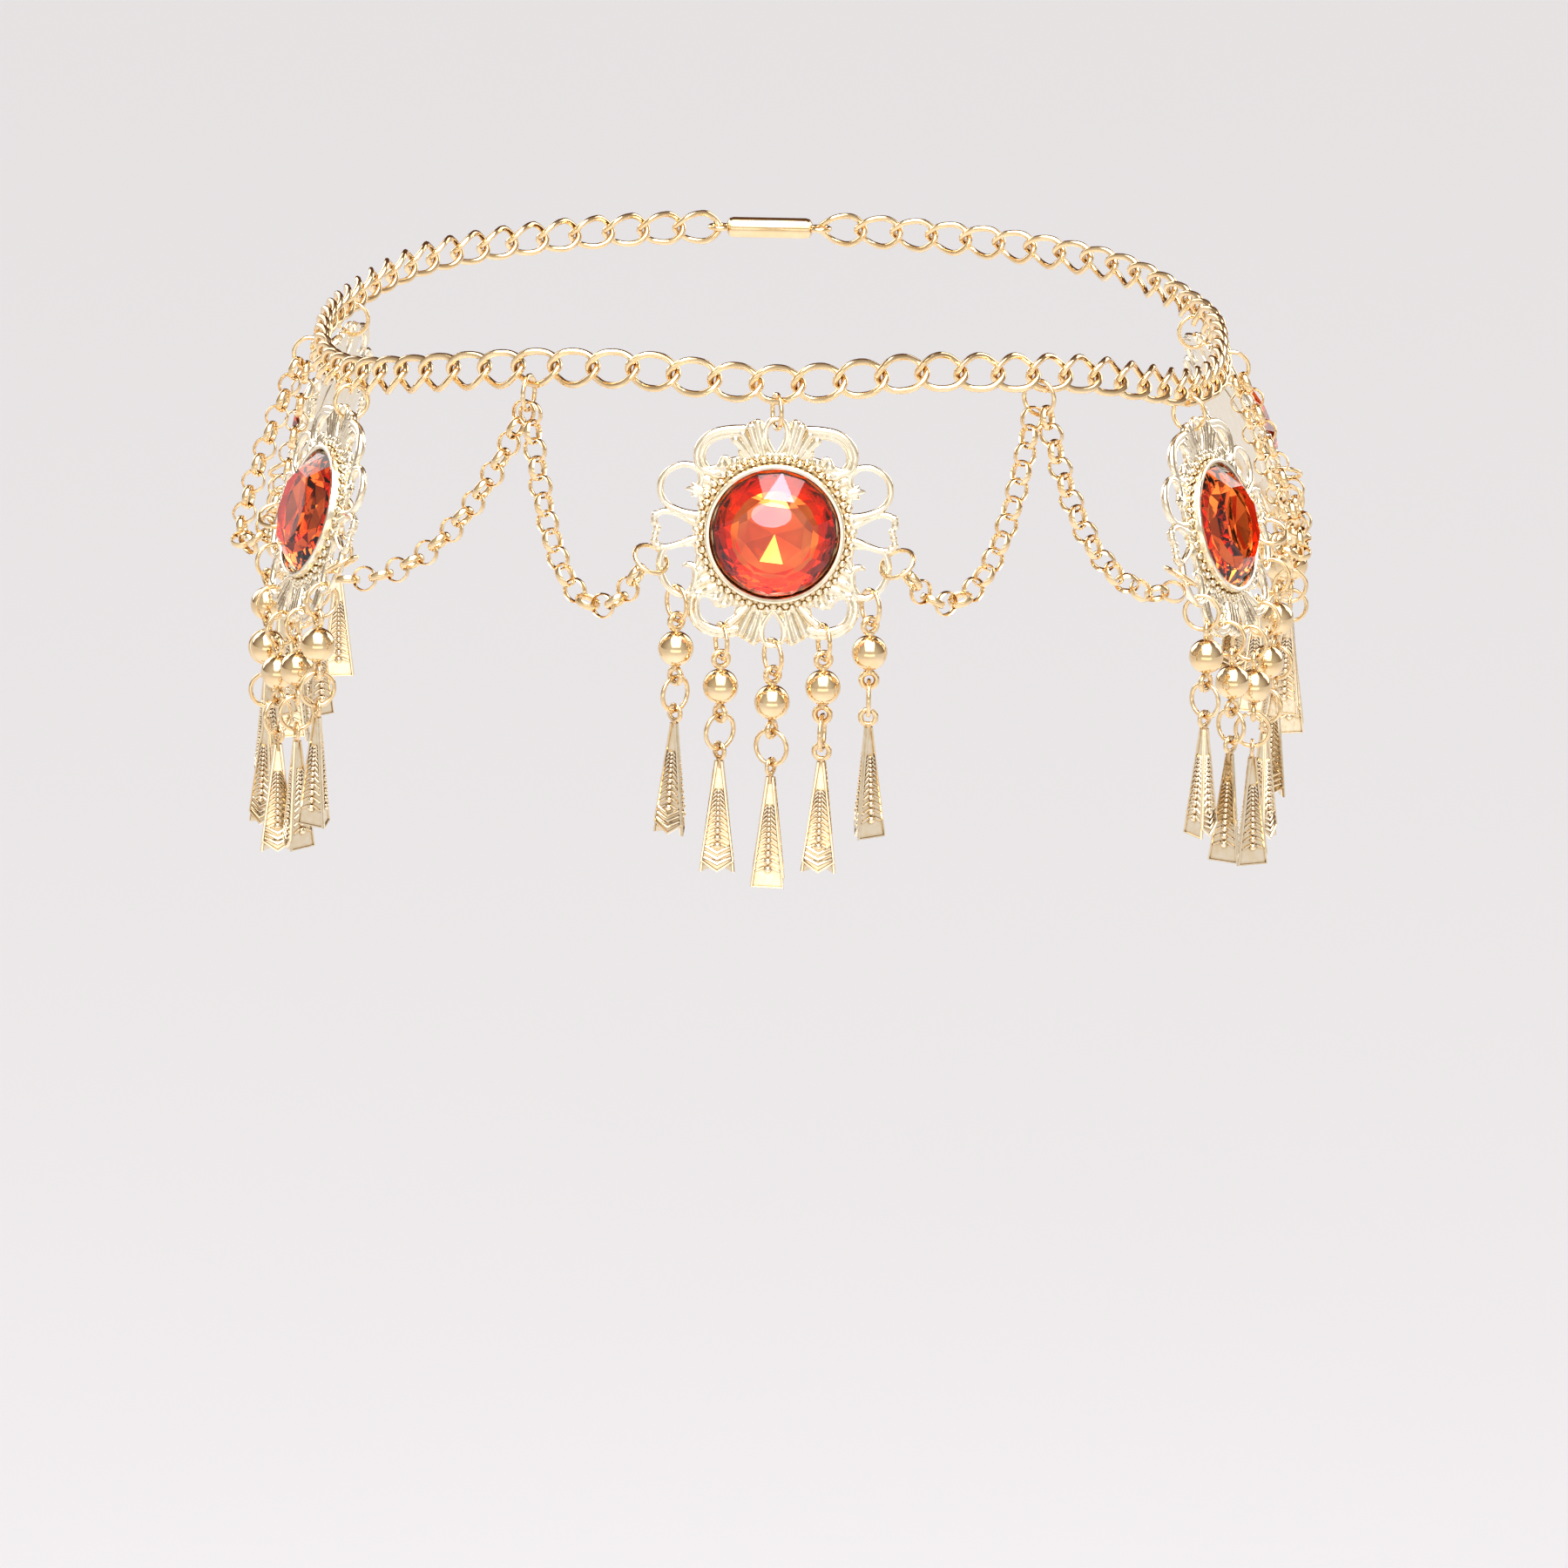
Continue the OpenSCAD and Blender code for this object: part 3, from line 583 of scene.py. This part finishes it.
def medallion():
    """The cast plate: scrolls, loops and fans fused round a body, with a bezel cup and a band of beads."""
    cast = []
    # The body's inner edge runs just outside the cup
    inner = CUP_R + CUP_ROOM
    turns = [math.pi * k / CUP_STEPS for k in range(CUP_STEPS, -1, -1)]
    hollow = [(inner * math.sin(a), inner * math.cos(a)) for a in turns]
    for flip in (list, mirrored):
        for scroll, higher_side, wide in SCROLLS:
            spacing = [WIDE_SPACING if w > WIDE_BAR else NARROW_SPACING for w in wide]
            for side, height in zip((higher_side, -higher_side), SCROLL_HEIGHTS):
                line = beside(scroll, [side * gap for gap in spacing])
                cast.append(cast_bar(flip(line), SCROLL_W, height, wide))
        for points, width, height, taper in BARS:
            cast.append(cast_bar(flip(points), width, height, taper))
        for flute in FLUTES:
            long = abs(flute[2][1]) > LONG_FLUTE
            cast.append(cast_bar(flip(flute), FLUTE_W, RELIEF_H, LONG_FLUTE_W if long else SHORT_FLUTE_W))
            if long:
                cast.append(bump(flip(flute)[2], FLUTE_KNOB, RELIEF_H))
        for leaf_rib in ACANTHUS:
            cast.append(cast_bar(flip(leaf_rib), max(ACANTHUS_W), RELIEF_H, ACANTHUS_W))
        for rim in (UPPER_RIM, LOWER_RIM):
            cast.append(cast_bar(flip(rim), RIM_W, RIM_H))
        for web in (UPPER_WEB, LOWER_WEB):
            cast.append(cast_web(flip(web), WEB_H))
        cast.append(cast_web(flip(BODY + hollow), BODY_H))
        for edge in BODY_EDGES:
            cast.append(cast_bar(flip(edge), EDGE_W, BODY_H - 0.15))
        for at in flip(SIDE_KNOBS_AT):
            cast.append(bump(at, SIDE_KNOB, SIDE_KNOB_Z))
    for k in range(BEADS):
        cast.append(bump(around(KNOB_R, 2 * math.pi * k / BEADS), BAND_KNOB, BODY_H))
    plate = join(cast)
    with_modifier(plate, "REMESH", mode="VOXEL", voxel_size=VOXEL)
    with_modifier(plate, "SMOOTH", factor=0.5, iterations=2)
    # The smoothing rounds the back's edges too
    for corner in plate.data.vertices:
        if corner.co.z < BACK_DEPTH:
            corner.co.z = 0
    with_modifier(plate, "DECIMATE", ratio=0.36)
    bezel = outward(turned_shape([
        (BEZEL_R, 0.4), (BEZEL_R, BEZEL_H - 0.4), (BEZEL_R - 0.12, BEZEL_H - 0.12), (BEZEL_R - 0.4, BEZEL_H),
        (BEZEL_INNER_R + 0.15, BEZEL_H - 0.05), (BEZEL_INNER_R, BEZEL_H - 0.3), (CUP_R + 0.1, 1.2),
        (CUP_R, CUP_FLOOR), (0, CUP_FLOOR), (0, -0.15), (CUP_R + 0.4, -0.15), (CUP_R + 0.6, 0.05),
        (CUP_R + 0.6, 0.4)], 96))
    beads = []
    for k in range(BEADS):
        bpy.ops.mesh.primitive_uv_sphere_add(segments=12, ring_count=7, radius=BEAD_D / 2)
        bead = bpy.context.object
        at = around(BEAD_R, 2 * math.pi * (k + 0.5) / BEADS)
        bead.data.transform(Matrix.Translation((*at, BODY_H + BEAD_LIFT)))
        beads.append(bead)
    smooth(plate, 55)
    smooth(bezel, 30)
    for bead in beads:
        only(bead)
        bpy.ops.object.shade_smooth()
    return join([plate, bezel] + beads)


def medallion_place(name):
    """Where a medallion's plate lies: X across, Y up and Z outwards, with its back at zero."""
    stone = np.array([corner.co for corner in nodes["stone_" + name].data.vertices])
    middle, axes = spread(stone)
    out = facing(axes[0], middle)
    depth = (stone @ np.array(out)).min() - STONE_BASE / 1000
    middle = middle + out * (depth - middle.dot(out))
    return frame_at(middle, UP.cross(out), out)


# Stones

STONE_D = 21.4
STONE_BASE = 0.7
GIRDLE_Z = 2.1
GIRDLE_T = 0.3
CROWN_H = 3.2
# Height of the drum that the stone is cut from, and the radius that the facets under the girdle run down to
ROUGH_H = 8
PAVILION_R = 3
TABLE_D = 13.6
# Turn of the facets in degrees
STONE_TURN = 39
# Rings of corners in the silvered back: radius, height, how many, and turn in steps of the ring
FOIL_RINGS = [(0, 0.8, 1, 0), (5.2, 2.05, 8, 0), (7.7, 0.95, 8, 0.5), (10.1, 1.95, 16, 0.25)]
FOIL_T = 0.08


def cut(stone, a, b, c):
    """Grinds a facet through three points, and keeps what lies under it."""
    a, b, c = Vector(a), Vector(b), Vector(c)
    face = (b - a).cross(c - a).normalized()
    middle = Vector((0, 0, GIRDLE_Z))
    if face.dot(a - middle) < 0:
        face = -face
    only(stone)
    bpy.ops.object.mode_set(mode="EDIT")
    bpy.ops.mesh.select_all(action="SELECT")
    bpy.ops.mesh.bisect(plane_co=a, plane_no=face, use_fill=True, clear_outer=True, threshold=1e-5)
    bpy.ops.object.mode_set(mode="OBJECT")


def cut_stone():
    """A round stone with an eight-sided table, eight facets from its edges and sixteen at the girdle."""
    radius = STONE_D / 2
    top = GIRDLE_Z + GIRDLE_T
    bpy.ops.mesh.primitive_cylinder_add(vertices=16, radius=radius, depth=ROUGH_H)
    stone = bpy.context.object
    turn = math.radians(STONE_TURN)
    stone.data.transform(Matrix.Translation((0, 0, ROUGH_H / 2 + STONE_BASE)) @ Matrix.Rotation(turn, 4, "Z"))

    def corner(reach, sixteenth, height):
        return *around(reach, turn + math.radians(22.5 * sixteenth)), height

    table = TABLE_D / 2
    high = top + CROWN_H
    cut(stone, corner(table, 1, high), corner(table, 3, high), corner(table, 5, high))
    for k in range(0, 16, 2):
        cut(stone, corner(table, k - 1, high), corner(table, k + 1, high), corner(radius, k, top))
        for other in (k, k + 2):
            cut(stone, corner(table, k + 1, high), corner(radius, k + 1, top), corner(radius, other, top))
    for k in range(16):
        cut(stone, corner(radius, k, GIRDLE_Z), corner(radius, k + 1, GIRDLE_Z),
            corner(PAVILION_R, k + 0.5, STONE_BASE))
    return stone


def foil_back():
    """The silvered back inside the stone: rings of facets that rise and fall like a cut pavilion."""
    foil = bmesh.new()
    rows = []
    for reach, height, count, shift in FOIL_RINGS:
        row = []
        for k in range(count):
            a = math.radians(STONE_TURN + 22.5) + 2 * math.pi * (k + shift) / count
            row.append(foil.verts.new((*around(reach, a), height)))
        rows.append(row)
    centre, inner, middle, outer = rows
    for k in range(8):
        foil.faces.new((centre[0], inner[k], inner[(k + 1) % 8]))
        foil.faces.new((inner[k], middle[k], inner[(k + 1) % 8]))
        foil.faces.new((middle[k], middle[(k + 1) % 8], inner[(k + 1) % 8]))
        foil.faces.new((middle[k], outer[2 * k], outer[(2 * k + 1) % 16]))
        foil.faces.new((middle[k], outer[(2 * k + 1) % 16], middle[(k + 1) % 8]))
        foil.faces.new((middle[(k + 1) % 8], outer[(2 * k + 1) % 16], outer[(2 * k + 2) % 16]))
    bmesh.ops.recalc_face_normals(foil, faces=foil.faces)
    if sum(face.normal.z for face in foil.faces) < 0:
        bmesh.ops.reverse_faces(foil, faces=foil.faces)
    mesh = bpy.data.meshes.new("foil_back")
    foil.to_mesh(mesh)
    foil.free()
    piece = bpy.data.objects.new("foil_back", mesh)
    bpy.context.scene.collection.objects.link(piece)
    with_modifier(piece, "SOLIDIFY", thickness=FOIL_T, offset=-1)
    for face in piece.data.polygons:
        face.material_index = 1
    return piece


def make_medallions():
    """A plate and a stone for each medallion."""
    plate, stone, foil = medallion(), cut_stone(), foil_back()
    for name in MEDALLIONS:
        place = medallion_place(name)
        set_piece("plate_" + name, "medallion_" + name, [medallion_gold], [(plate, place)])
        set_piece("cut_stone_" + name, "stone_" + name, [stone_glass, stone_foil],
                  [(stone, place), (foil, place)])
    for shape in (plate, stone, foil):
        bpy.data.objects.remove(shape)


# Drops

BALL_D = 6.1
NECK_R = 0.65
NECK_L = 0.5
EYE_D = 3.6
EYE_WIRE = 1.0
# From a ball's middle to its eyes' middles: each eye's wire sits a little way up the neck
EYE_REACH = BALL_D / 2 + (EYE_D - EYE_WIRE) / 2 + 0.4
TAB_D = 3.5
TAB_WIRE = 0.95
TAB_T = 0.7
BODY_L = 19.3
LEAF_TOP_W = 1.4
LEAF_BOTTOM_W = 5.9
LEAF_T = 0.4
LEAF_POINT = 1.8
LEAF_RIM = 0.55
# The row of beads down a leaf: its start, its first radius, its growth, its largest radius and its spacing
ROW_START = 5.2
FIRST_BEAD = 0.3
BEAD_GROWTH = 1.08
LARGEST_BEAD = 0.68
BEAD_SPACING = 2.15
# Where the row ends on a pointed leaf, above its chevrons, and on a plain one
POINTED_ROW_END = 15.1
PLAIN_ROW_END = 17.6
CHEVRONS = (15.5, 16.5, 17.4)
# Turn of each drop's pendant under its tab, from the left drop to the right
PENDANT_TURNS = [12, 48, 53, 0, -85]
# How far each drop hangs from its CAD place, in the plate's directions, so that its ring clears the cast bars
DROP_MOVES = [(0.2, 0.3, -0.1), (-0.1, 0.3, 0.2), (0, 0, 0.1), (0.2, 0.4, -0.2), (-0.1, 0.3, 0.1)]


def ball():
    """A ball with a short neck above and below, turned in one."""
    radius = BALL_D / 2
    steps = 14
    start = math.asin(NECK_R / radius)
    turns = [start + (math.pi - 2 * start) * k / steps for k in range(steps + 1)]
    side = [(radius * math.sin(a), radius * math.cos(a)) for a in turns]
    end = radius + NECK_L
    profile = [(0, end), (NECK_R, end)] + side + [(NECK_R, -end), (0, -end)]
    return smooth(outward(turned_shape(profile, 28)))


def eye():
    """The round eye cast on a ball's neck, lying flat round Z."""
    return smooth(wire_ring(EYE_D, EYE_WIRE, 24, 10), 80)


def tab():
    """A pendant's flat open eye and its neck, upright across Y."""
    radius = (TAB_D - TAB_WIRE) / 2
    turns = [math.radians(85 + 340 * k / 10) for k in range(11)]
    hook = bent_bar([around(radius, a) for a in turns], TAB_WIRE, steps=3)
    neck = bent_bar([(0, -radius), (0, -TAB_D / 2 - 0.3), (0, -TAB_D / 2 - 1.2)], 1.3)
    shape = join([hook, neck])
    shape.data.transform(Matrix.Rotation(math.radians(90), 4, "X") @ Matrix.Scale(TAB_T / TAB_WIRE, 4, UP))
    return smooth(shape, 60)


def leaf_half(down):
    """Half a leaf's width at a distance below its top."""
    return (LEAF_TOP_W + (LEAF_BOTTOM_W - LEAF_TOP_W) * down / BODY_L) / 2


def leaf(pointed):
    """One leaf of a pendant: a thin blade with a rim, beads, veins and, if it is pointed, chevrons."""
    corner_l = BODY_L - (LEAF_POINT if pointed else 0)
    edge = LEAF_RIM / 2
    bpy.ops.mesh.primitive_cube_add(size=1)
    blade = bpy.context.object
    top, low = leaf_half(0) - edge, leaf_half(BODY_L) - edge
    for corner in blade.data.vertices:
        half = top if corner.co.y > 0 else low
        corner.co = (math.copysign(half, corner.co.x), 0 if corner.co.y > 0 else -corner_l + edge,
                     LEAF_T if corner.co.z > 0 else 0)
    parts = [blade]
    ends = [(low, -corner_l + edge), (0, -BODY_L + edge), (-low, -corner_l + edge)]
    rim = [(top, 0)] + ends + [(-top, 0)] if pointed else [(top, 0), ends[0], ends[2], (-top, 0)]
    edging = bent_bar(rim, LEAF_RIM, handles="VECTOR", steps=1, sides=6)
    edging.data.transform(Matrix.Translation((0, 0, LEAF_T)))
    parts.append(edging)
    if pointed:
        bpy.ops.mesh.primitive_cylinder_add(vertices=3, radius=1, depth=LEAF_T)
        tip = bpy.context.object
        for corner in tip.data.vertices:
            k = (corner.index // 2) % 3
            # The tip's two upper corners reach into the blade
            corner.co = (ends[k][0], ends[k][1] + (0.3 if k != 1 else 0), corner.co.z + LEAF_T / 2)
        parts.append(tip)
    last = POINTED_ROW_END if pointed else PLAIN_ROW_END
    down, size = ROW_START, FIRST_BEAD
    while down + size < last + 0.3:
        bpy.ops.mesh.primitive_uv_sphere_add(segments=10, ring_count=6, radius=size)
        bead = bpy.context.object
        bead.data.transform(Matrix.Translation((0, -down, LEAF_T + 0.05)))
        parts.append(bead)
        reach = leaf_half(down) - 0.5
        for side in (-1, 1):
            if reach > size + 0.3:
                vein = bent_bar([(side * (size - 0.05), -down + 0.3), (side * reach, -down - 0.35)], 0.6,
                                handles="VECTOR", steps=1, sides=6, taper=[0.62, 0.45])
                vein.data.transform(Matrix.Translation((0, 0, LEAF_T)))
                parts.append(vein)
        down += size * BEAD_SPACING
        size = min(size * BEAD_GROWTH, LARGEST_BEAD)
    if pointed:
        for down in CHEVRONS:
            reach = leaf_half(down) - 0.4
            chevron = bent_bar([(-reach, -down + 0.8), (0, -down - 0.4), (reach, -down + 0.8)], 0.62,
                               handles="VECTOR", steps=1, sides=8)
            chevron.data.transform(Matrix.Translation((0, 0, LEAF_T)))
            parts.append(chevron)
    shape = smooth(join(parts), 45)
    for face in shape.data.polygons:
        face.material_index = 1
    return shape


def make_drops():
    """The five drops of each medallion: ring, ball with two eyes, ring, tab and three leaves."""
    ring, round_ball, round_eye, flat_tab = jump_ring(), ball(), eye(), tab()
    leaves = [leaf(True), leaf(False)]
    in_top, in_bottom = (w / (2 * math.sqrt(3)) for w in (LEAF_TOP_W, LEAF_BOTTOM_W))
    flare = math.atan((in_bottom - in_top) / BODY_L)
    for name in MEDALLIONS:
        plate_turn = medallion_place(name).to_3x3()
        side = plate_turn.col[0]
        for k, turn in enumerate(PENDANT_TURNS):
            node = f"drop_{name}_{k + 1}"
            solids = sorted(solids_of(node), key=lambda points: -points[:, 2].max())
            upper, bead, lower, pendant = solids
            rings = [ring_place(upper, side), ring_place(lower, side)]
            middle = Vector((bead.min(0) + bead.max(0)) / 2)
            parts = [(ring, place) for place in rings] + [(round_ball, frame_at(middle, side, UP))]
            for place, way in zip(rings, (1, -1)):
                across = UP.cross(place.col[2].to_3d())
                parts.append((round_eye, frame_at(middle + way * UP * EYE_REACH / 1000, UP, across)))
            hang = rings[1].translation.copy()
            hang.z = pendant[:, 2].max() - TAB_D / 2000
            base = frame_at(hang, rings[1].col[2].to_3d(), UP)
            parts.append((flat_tab, base))
            for third in range(3):
                lean = (Matrix.Rotation(math.radians(turn + 120 * third), 4, "Z")
                        @ Matrix.Translation(Vector((0, -in_top, -TAB_D / 2)) / 1000)
                        @ Matrix.Rotation(math.pi / 2 - flare, 4, "X")
                        @ Matrix.Translation((0, 0, -LEAF_T / 1000)))
                parts.append((leaves[min(third, 1)], base @ lean))
            move = Matrix.Translation(plate_turn @ Vector(DROP_MOVES[k]) / 1000)
            set_piece("ball_and_pendant_" + node[5:], node, [chain_gold, leaf_gold],
                      [(shape, move @ place) for shape, place in parts])
    for shape in (ring, round_ball, round_eye, flat_tab, *leaves):
        bpy.data.objects.remove(shape)


# Clasp

CLASP_D = 4
CLASP_EYE_D = 4.8
CLASP_EYE_WIRE = 1
# The barrel's rounded ends: how far in they start, how far in their shoulder is, and the radius at the
# shoulder and at the very end as parts of the barrel's
CLASP_ROUNDING = 1.3
CLASP_SHOULDER_IN = 0.5
CLASP_SHOULDER = 0.9
CLASP_END = 0.55


def make_clasp():
    """The barrel that closes the loop, with rounded ends and an eye at each."""
    points = solids_of("clasp")[0]
    middle, axes = spread(points)
    reach = (points @ np.array(axes[2])).max() * 1000 - middle.dot(axes[2]) * 1000
    half = reach - CLASP_EYE_D + CLASP_EYE_WIRE
    radius = CLASP_D / 2
    upper = [(radius, half - CLASP_ROUNDING), (radius * CLASP_SHOULDER, half - CLASP_SHOULDER_IN),
             (radius * CLASP_END, half), (0, half)]
    lower = [(r, -height) for r, height in reversed(upper)]
    barrel = outward(turned_shape(lower + upper, 32))
    barrel.data.transform(Matrix.Rotation(math.pi / 2, 4, "Y"))
    clasp_eye = smooth(wire_ring(CLASP_EYE_D, CLASP_EYE_WIRE, 28, 10), 80)
    along = facing(axes[2], Vector((1, 0, 0)))
    parts = [(smooth(barrel), frame_at(middle, along, UP))]
    for way in (-1, 1):
        at = middle + along * way * (reach - CLASP_EYE_D / 2) / 1000
        parts.append((clasp_eye, frame_at(at, along, UP)))
    set_piece("barrel_clasp", "clasp", [chain_gold], parts)
    bpy.data.objects.remove(barrel)
    bpy.data.objects.remove(clasp_eye)


# Swags

# A link's outside, its wire's thickness and width, and the run that one link takes up
SWAG_LINK_D = 4.5
SWAG_LINK_T = 0.45
SWAG_LINK_W = 1.2
SWAG_PITCH = 3.15
# How far the end links' middles lie from the ends of the chain's curve. The curve starts near the hang ring's
# wire. It ends beside the side ring's wire, so the last link lies next to that ring and not through it.
SWAG_END = 0.8
# Points of the CAD tube this near to its closest one, in metres, make up its end
TUBE_END = 0.0008
# How far a link's roll strays from a quarter turn, in degrees
SWAG_SHAKE = 5
# Swags: hang ring, medallion, number of links, and in degrees the first link's roll and shift round the ring
SWAGS = {
    "left_front_inner": ("left_front", "front", 16, 0, -27),
    "left_front_outer": ("left_front", "left_temple", 16, 15, 11),
    "right_front_inner": ("right_front", "front", 16, 0, 8),
    "right_front_outer": ("right_front", "right_temple", 15, -45, -16),
    "left_side_inner": ("left_side", "left_temple", 15, 48, 0),
    "left_side_outer": ("left_side", "left_rear", 16, -6, 36),
    "right_side_inner": ("right_side", "right_temple", 15, -30, 0),
    "right_side_outer": ("right_side", "right_rear", 16, 0, -36),
}


def swag_link():
    """A round link of flat wire, rounded at its edges, lying flat round Z."""
    link = wire_ring(SWAG_LINK_D, SWAG_LINK_T, 24, 8)
    link.data.transform(Matrix.Scale(SWAG_LINK_W / SWAG_LINK_T, 4, UP))
    return smooth(link, 60)


def hanging(start, end, length, down):
    """A function that gives a point of a hanging chain at a distance along it."""
    fall = (end - start).dot(down)
    flat = (end - start) - down * fall
    width = flat.length
    # Half the width over the curve's scale, found by halving
    low, high = 0.01, 8
    want = math.sqrt(length ** 2 - fall ** 2) / width
    for _ in range(50):
        middle = (low + high) / 2
        low, high = (middle, high) if math.sinh(middle) / middle < want else (low, middle)
    c = width / 2 / low
    first = c * math.atanh(-fall / length) - width / 2
    offset = c * math.sinh(first / c)

    def at(s):
        u = c * math.asinh((offset + s) / c)
        return start + flat * ((u - first) / width) - down * (c * (math.cosh(u / c) - math.cosh(first / c)))

    return at


def distances(points, place):
    """How far each point lies from a place."""
    return np.linalg.norm(points - np.array(place.translation), axis=1)


def make_swags(rings):
    """Chains of round links that hang from a ring on the loop and end beside a medallion's side ring."""
    link = swag_link()
    shake = random.Random(4)
    for name, (ring, medallion_name, count, first, shift) in SWAGS.items():
        tube = np.array([corner.co for corner in nodes["swag_" + name].data.vertices])
        start_ring = rings["hang_ring_" + ring][0]
        end_ring = min(rings["rings_" + medallion_name], key=lambda place: distances(tube, place).min())
        ends = []
        for ring_at in (start_ring, end_ring):
            near = distances(tube, ring_at)
            tip = Vector(tube[near < near.min() + TUBE_END].mean(0))
            reach = (tip - ring_at.translation).normalized()
            if ring_at is start_ring:
                reach.rotate(Matrix.Rotation(math.radians(shift), 3, ring_at.col[2].to_3d()))
            ends.append(ring_at.translation + reach * (RING_D - RING_WIRE) / 2000)
        normal = spread(tube)[1][0]
        down = -(UP - normal * UP.dot(normal)).normalized()
        length = (2 * SWAG_END + (count - 1) * SWAG_PITCH) / 1000
        at = hanging(ends[0], ends[1], length, down)
        parts = []
        for k in range(count):
            middle = (SWAG_END + k * SWAG_PITCH) / 1000
            before, after = (at(middle + way * SWAG_PITCH / 2000) for way in (-1, 1))
            run = (after - before).normalized()
            roll = math.radians(first + 90 * k + shake.uniform(-SWAG_SHAKE, SWAG_SHAKE))
            axis = normal * math.cos(roll) + run.cross(normal) * math.sin(roll)
            parts.append((link, frame_at((before + after) / 2, run, axis)))
        set_piece("round_links_" + name, "swag_" + name, [chain_gold], parts)
    bpy.data.objects.remove(link)


# How far a side ring sits from its CAD place, towards the plate's middle and outwards, to clear the cast loop
SIDE_RING_IN = 0.2
SIDE_RING_OUT = 0.2
# A ring further across the plate than this is one of its side rings
SIDE_RING_X = 10


def side_ring_place(place, plate):
    """A medallion's ring, moved clear of the plate if it is one of the two at its sides."""
    across = (plate.inverted() @ place.translation).x * 1000
    if abs(across) < SIDE_RING_X:
        return place
    move = Vector((-math.copysign(SIDE_RING_IN, across), 0, SIDE_RING_OUT)) / 1000
    return Matrix.Translation(plate.to_3x3() @ move) @ place


def make_rings():
    """The hang rings and the medallions' rings; returns where each lies."""
    ring = jump_ring()
    places = {}
    for node in nodes:
        if node.startswith(("hang_ring_", "rings_")):
            places[node] = [ring_place(solid) for solid in solids_of(node)]
            if node.startswith("rings_"):
                plate = medallion_place(node[6:])
                places[node] = [side_ring_place(place, plate) for place in places[node]]
            set_piece("jump_" + node, node, [chain_gold], [(ring, p) for p in places[node]])
    bpy.data.objects.remove(ring)
    return places


# Floor and light


# Area lamps: name, place, size, power and colour. The small low one shows as a pale patch in the front
# stone's table, the spark as its bright lower facet, and the two at the sides light the temple plates.
LAMPS = [
    ("key", (0.05, -0.75, 1.07), (1.5, 2.0), 17, "#FFFFFF"),
    ("spark", (0.06, -1.1, 0.75), (0.3, 0.3), 3.5, "#FFFFFF"),
    ("front_card", (0.1, -1.7, -0.2), (2.2, 0.5), 2.7, "#FFF9F0"),
    ("overhead", (0.14, -0.41, 1.01), (0.26, 0.26), 2.8, "#EADFFF"),
    ("side", (-0.9, 0.82, 0.45), (0.9, 0.9), 6, "#FFFFFF"),
    ("other_side", (0.9, 0.82, 0.45), (0.9, 0.9), 6, "#FFFFFF"),
    ("low_lamp", (0.0637, -1.19, -0.1305), (0.013, 0.008), 0.0026, "#E6DCF6"),
]


def make_studio():
    """A pale floor, a room that is pale in front and brown behind, and the lamps."""
    bpy.ops.mesh.primitive_plane_add(size=60, location=(0, 0, -1))
    floor = bpy.context.object
    floor.name = "floor"
    paper = bpy.data.materials.new("white_paper")
    paper.use_nodes = True
    paper.node_tree.nodes["Principled BSDF"].inputs["Base Color"].default_value = linear("#E3E4E8")
    paper.node_tree.nodes["Principled BSDF"].inputs["Roughness"].default_value = 0.9
    floor.data.materials.append(paper)
    world = bpy.data.worlds.new("studio")
    world.use_nodes = True
    tree = world.node_tree
    way = add(tree, "ShaderNodeTexCoord")
    parts = add(tree, "ShaderNodeSeparateXYZ", Vector=way.outputs["Generated"])
    fade = add(tree, "ShaderNodeMapRange", {"From Min": -0.7, "From Max": 0.6}, Value=parts.outputs["Y"])
    colour = add(tree, "ShaderNodeValToRGB", Fac=fade.outputs["Result"])
    colour.color_ramp.elements[0].color = linear("#EFEAE4")
    colour.color_ramp.elements[1].color = linear("#6B4A33")
    tree.links.new(colour.outputs["Color"], tree.nodes["Background"].inputs["Color"])
    tree.nodes["Background"].inputs["Strength"].default_value = 0.8
    bpy.context.scene.world = world
    for name, at, size, power, tone in LAMPS:
        bpy.ops.object.light_add(type="AREA", location=at)
        light = bpy.context.object
        light.name = name
        light.data.shape = "ELLIPSE" if name == "low_lamp" else "RECTANGLE"
        light.data.size, light.data.size_y = size
        light.data.energy = power
        light.data.color = linear(tone)[:3]
        light.rotation_euler = (-Vector(at)).to_track_quat("-Z", "Y").to_euler()
    bpy.ops.object.light_add(type="SUN", rotation=(math.radians(18), 0, 0))
    sky = bpy.context.object
    sky.name = "daylight"
    sky.data.energy = 2.2
    sky.data.angle = math.radians(50)
    bpy.context.scene.view_settings.view_transform = "Standard"


make_chain()
ring_places = make_rings()
make_medallions()
make_swags(ring_places)
make_drops()
make_clasp()
make_studio()
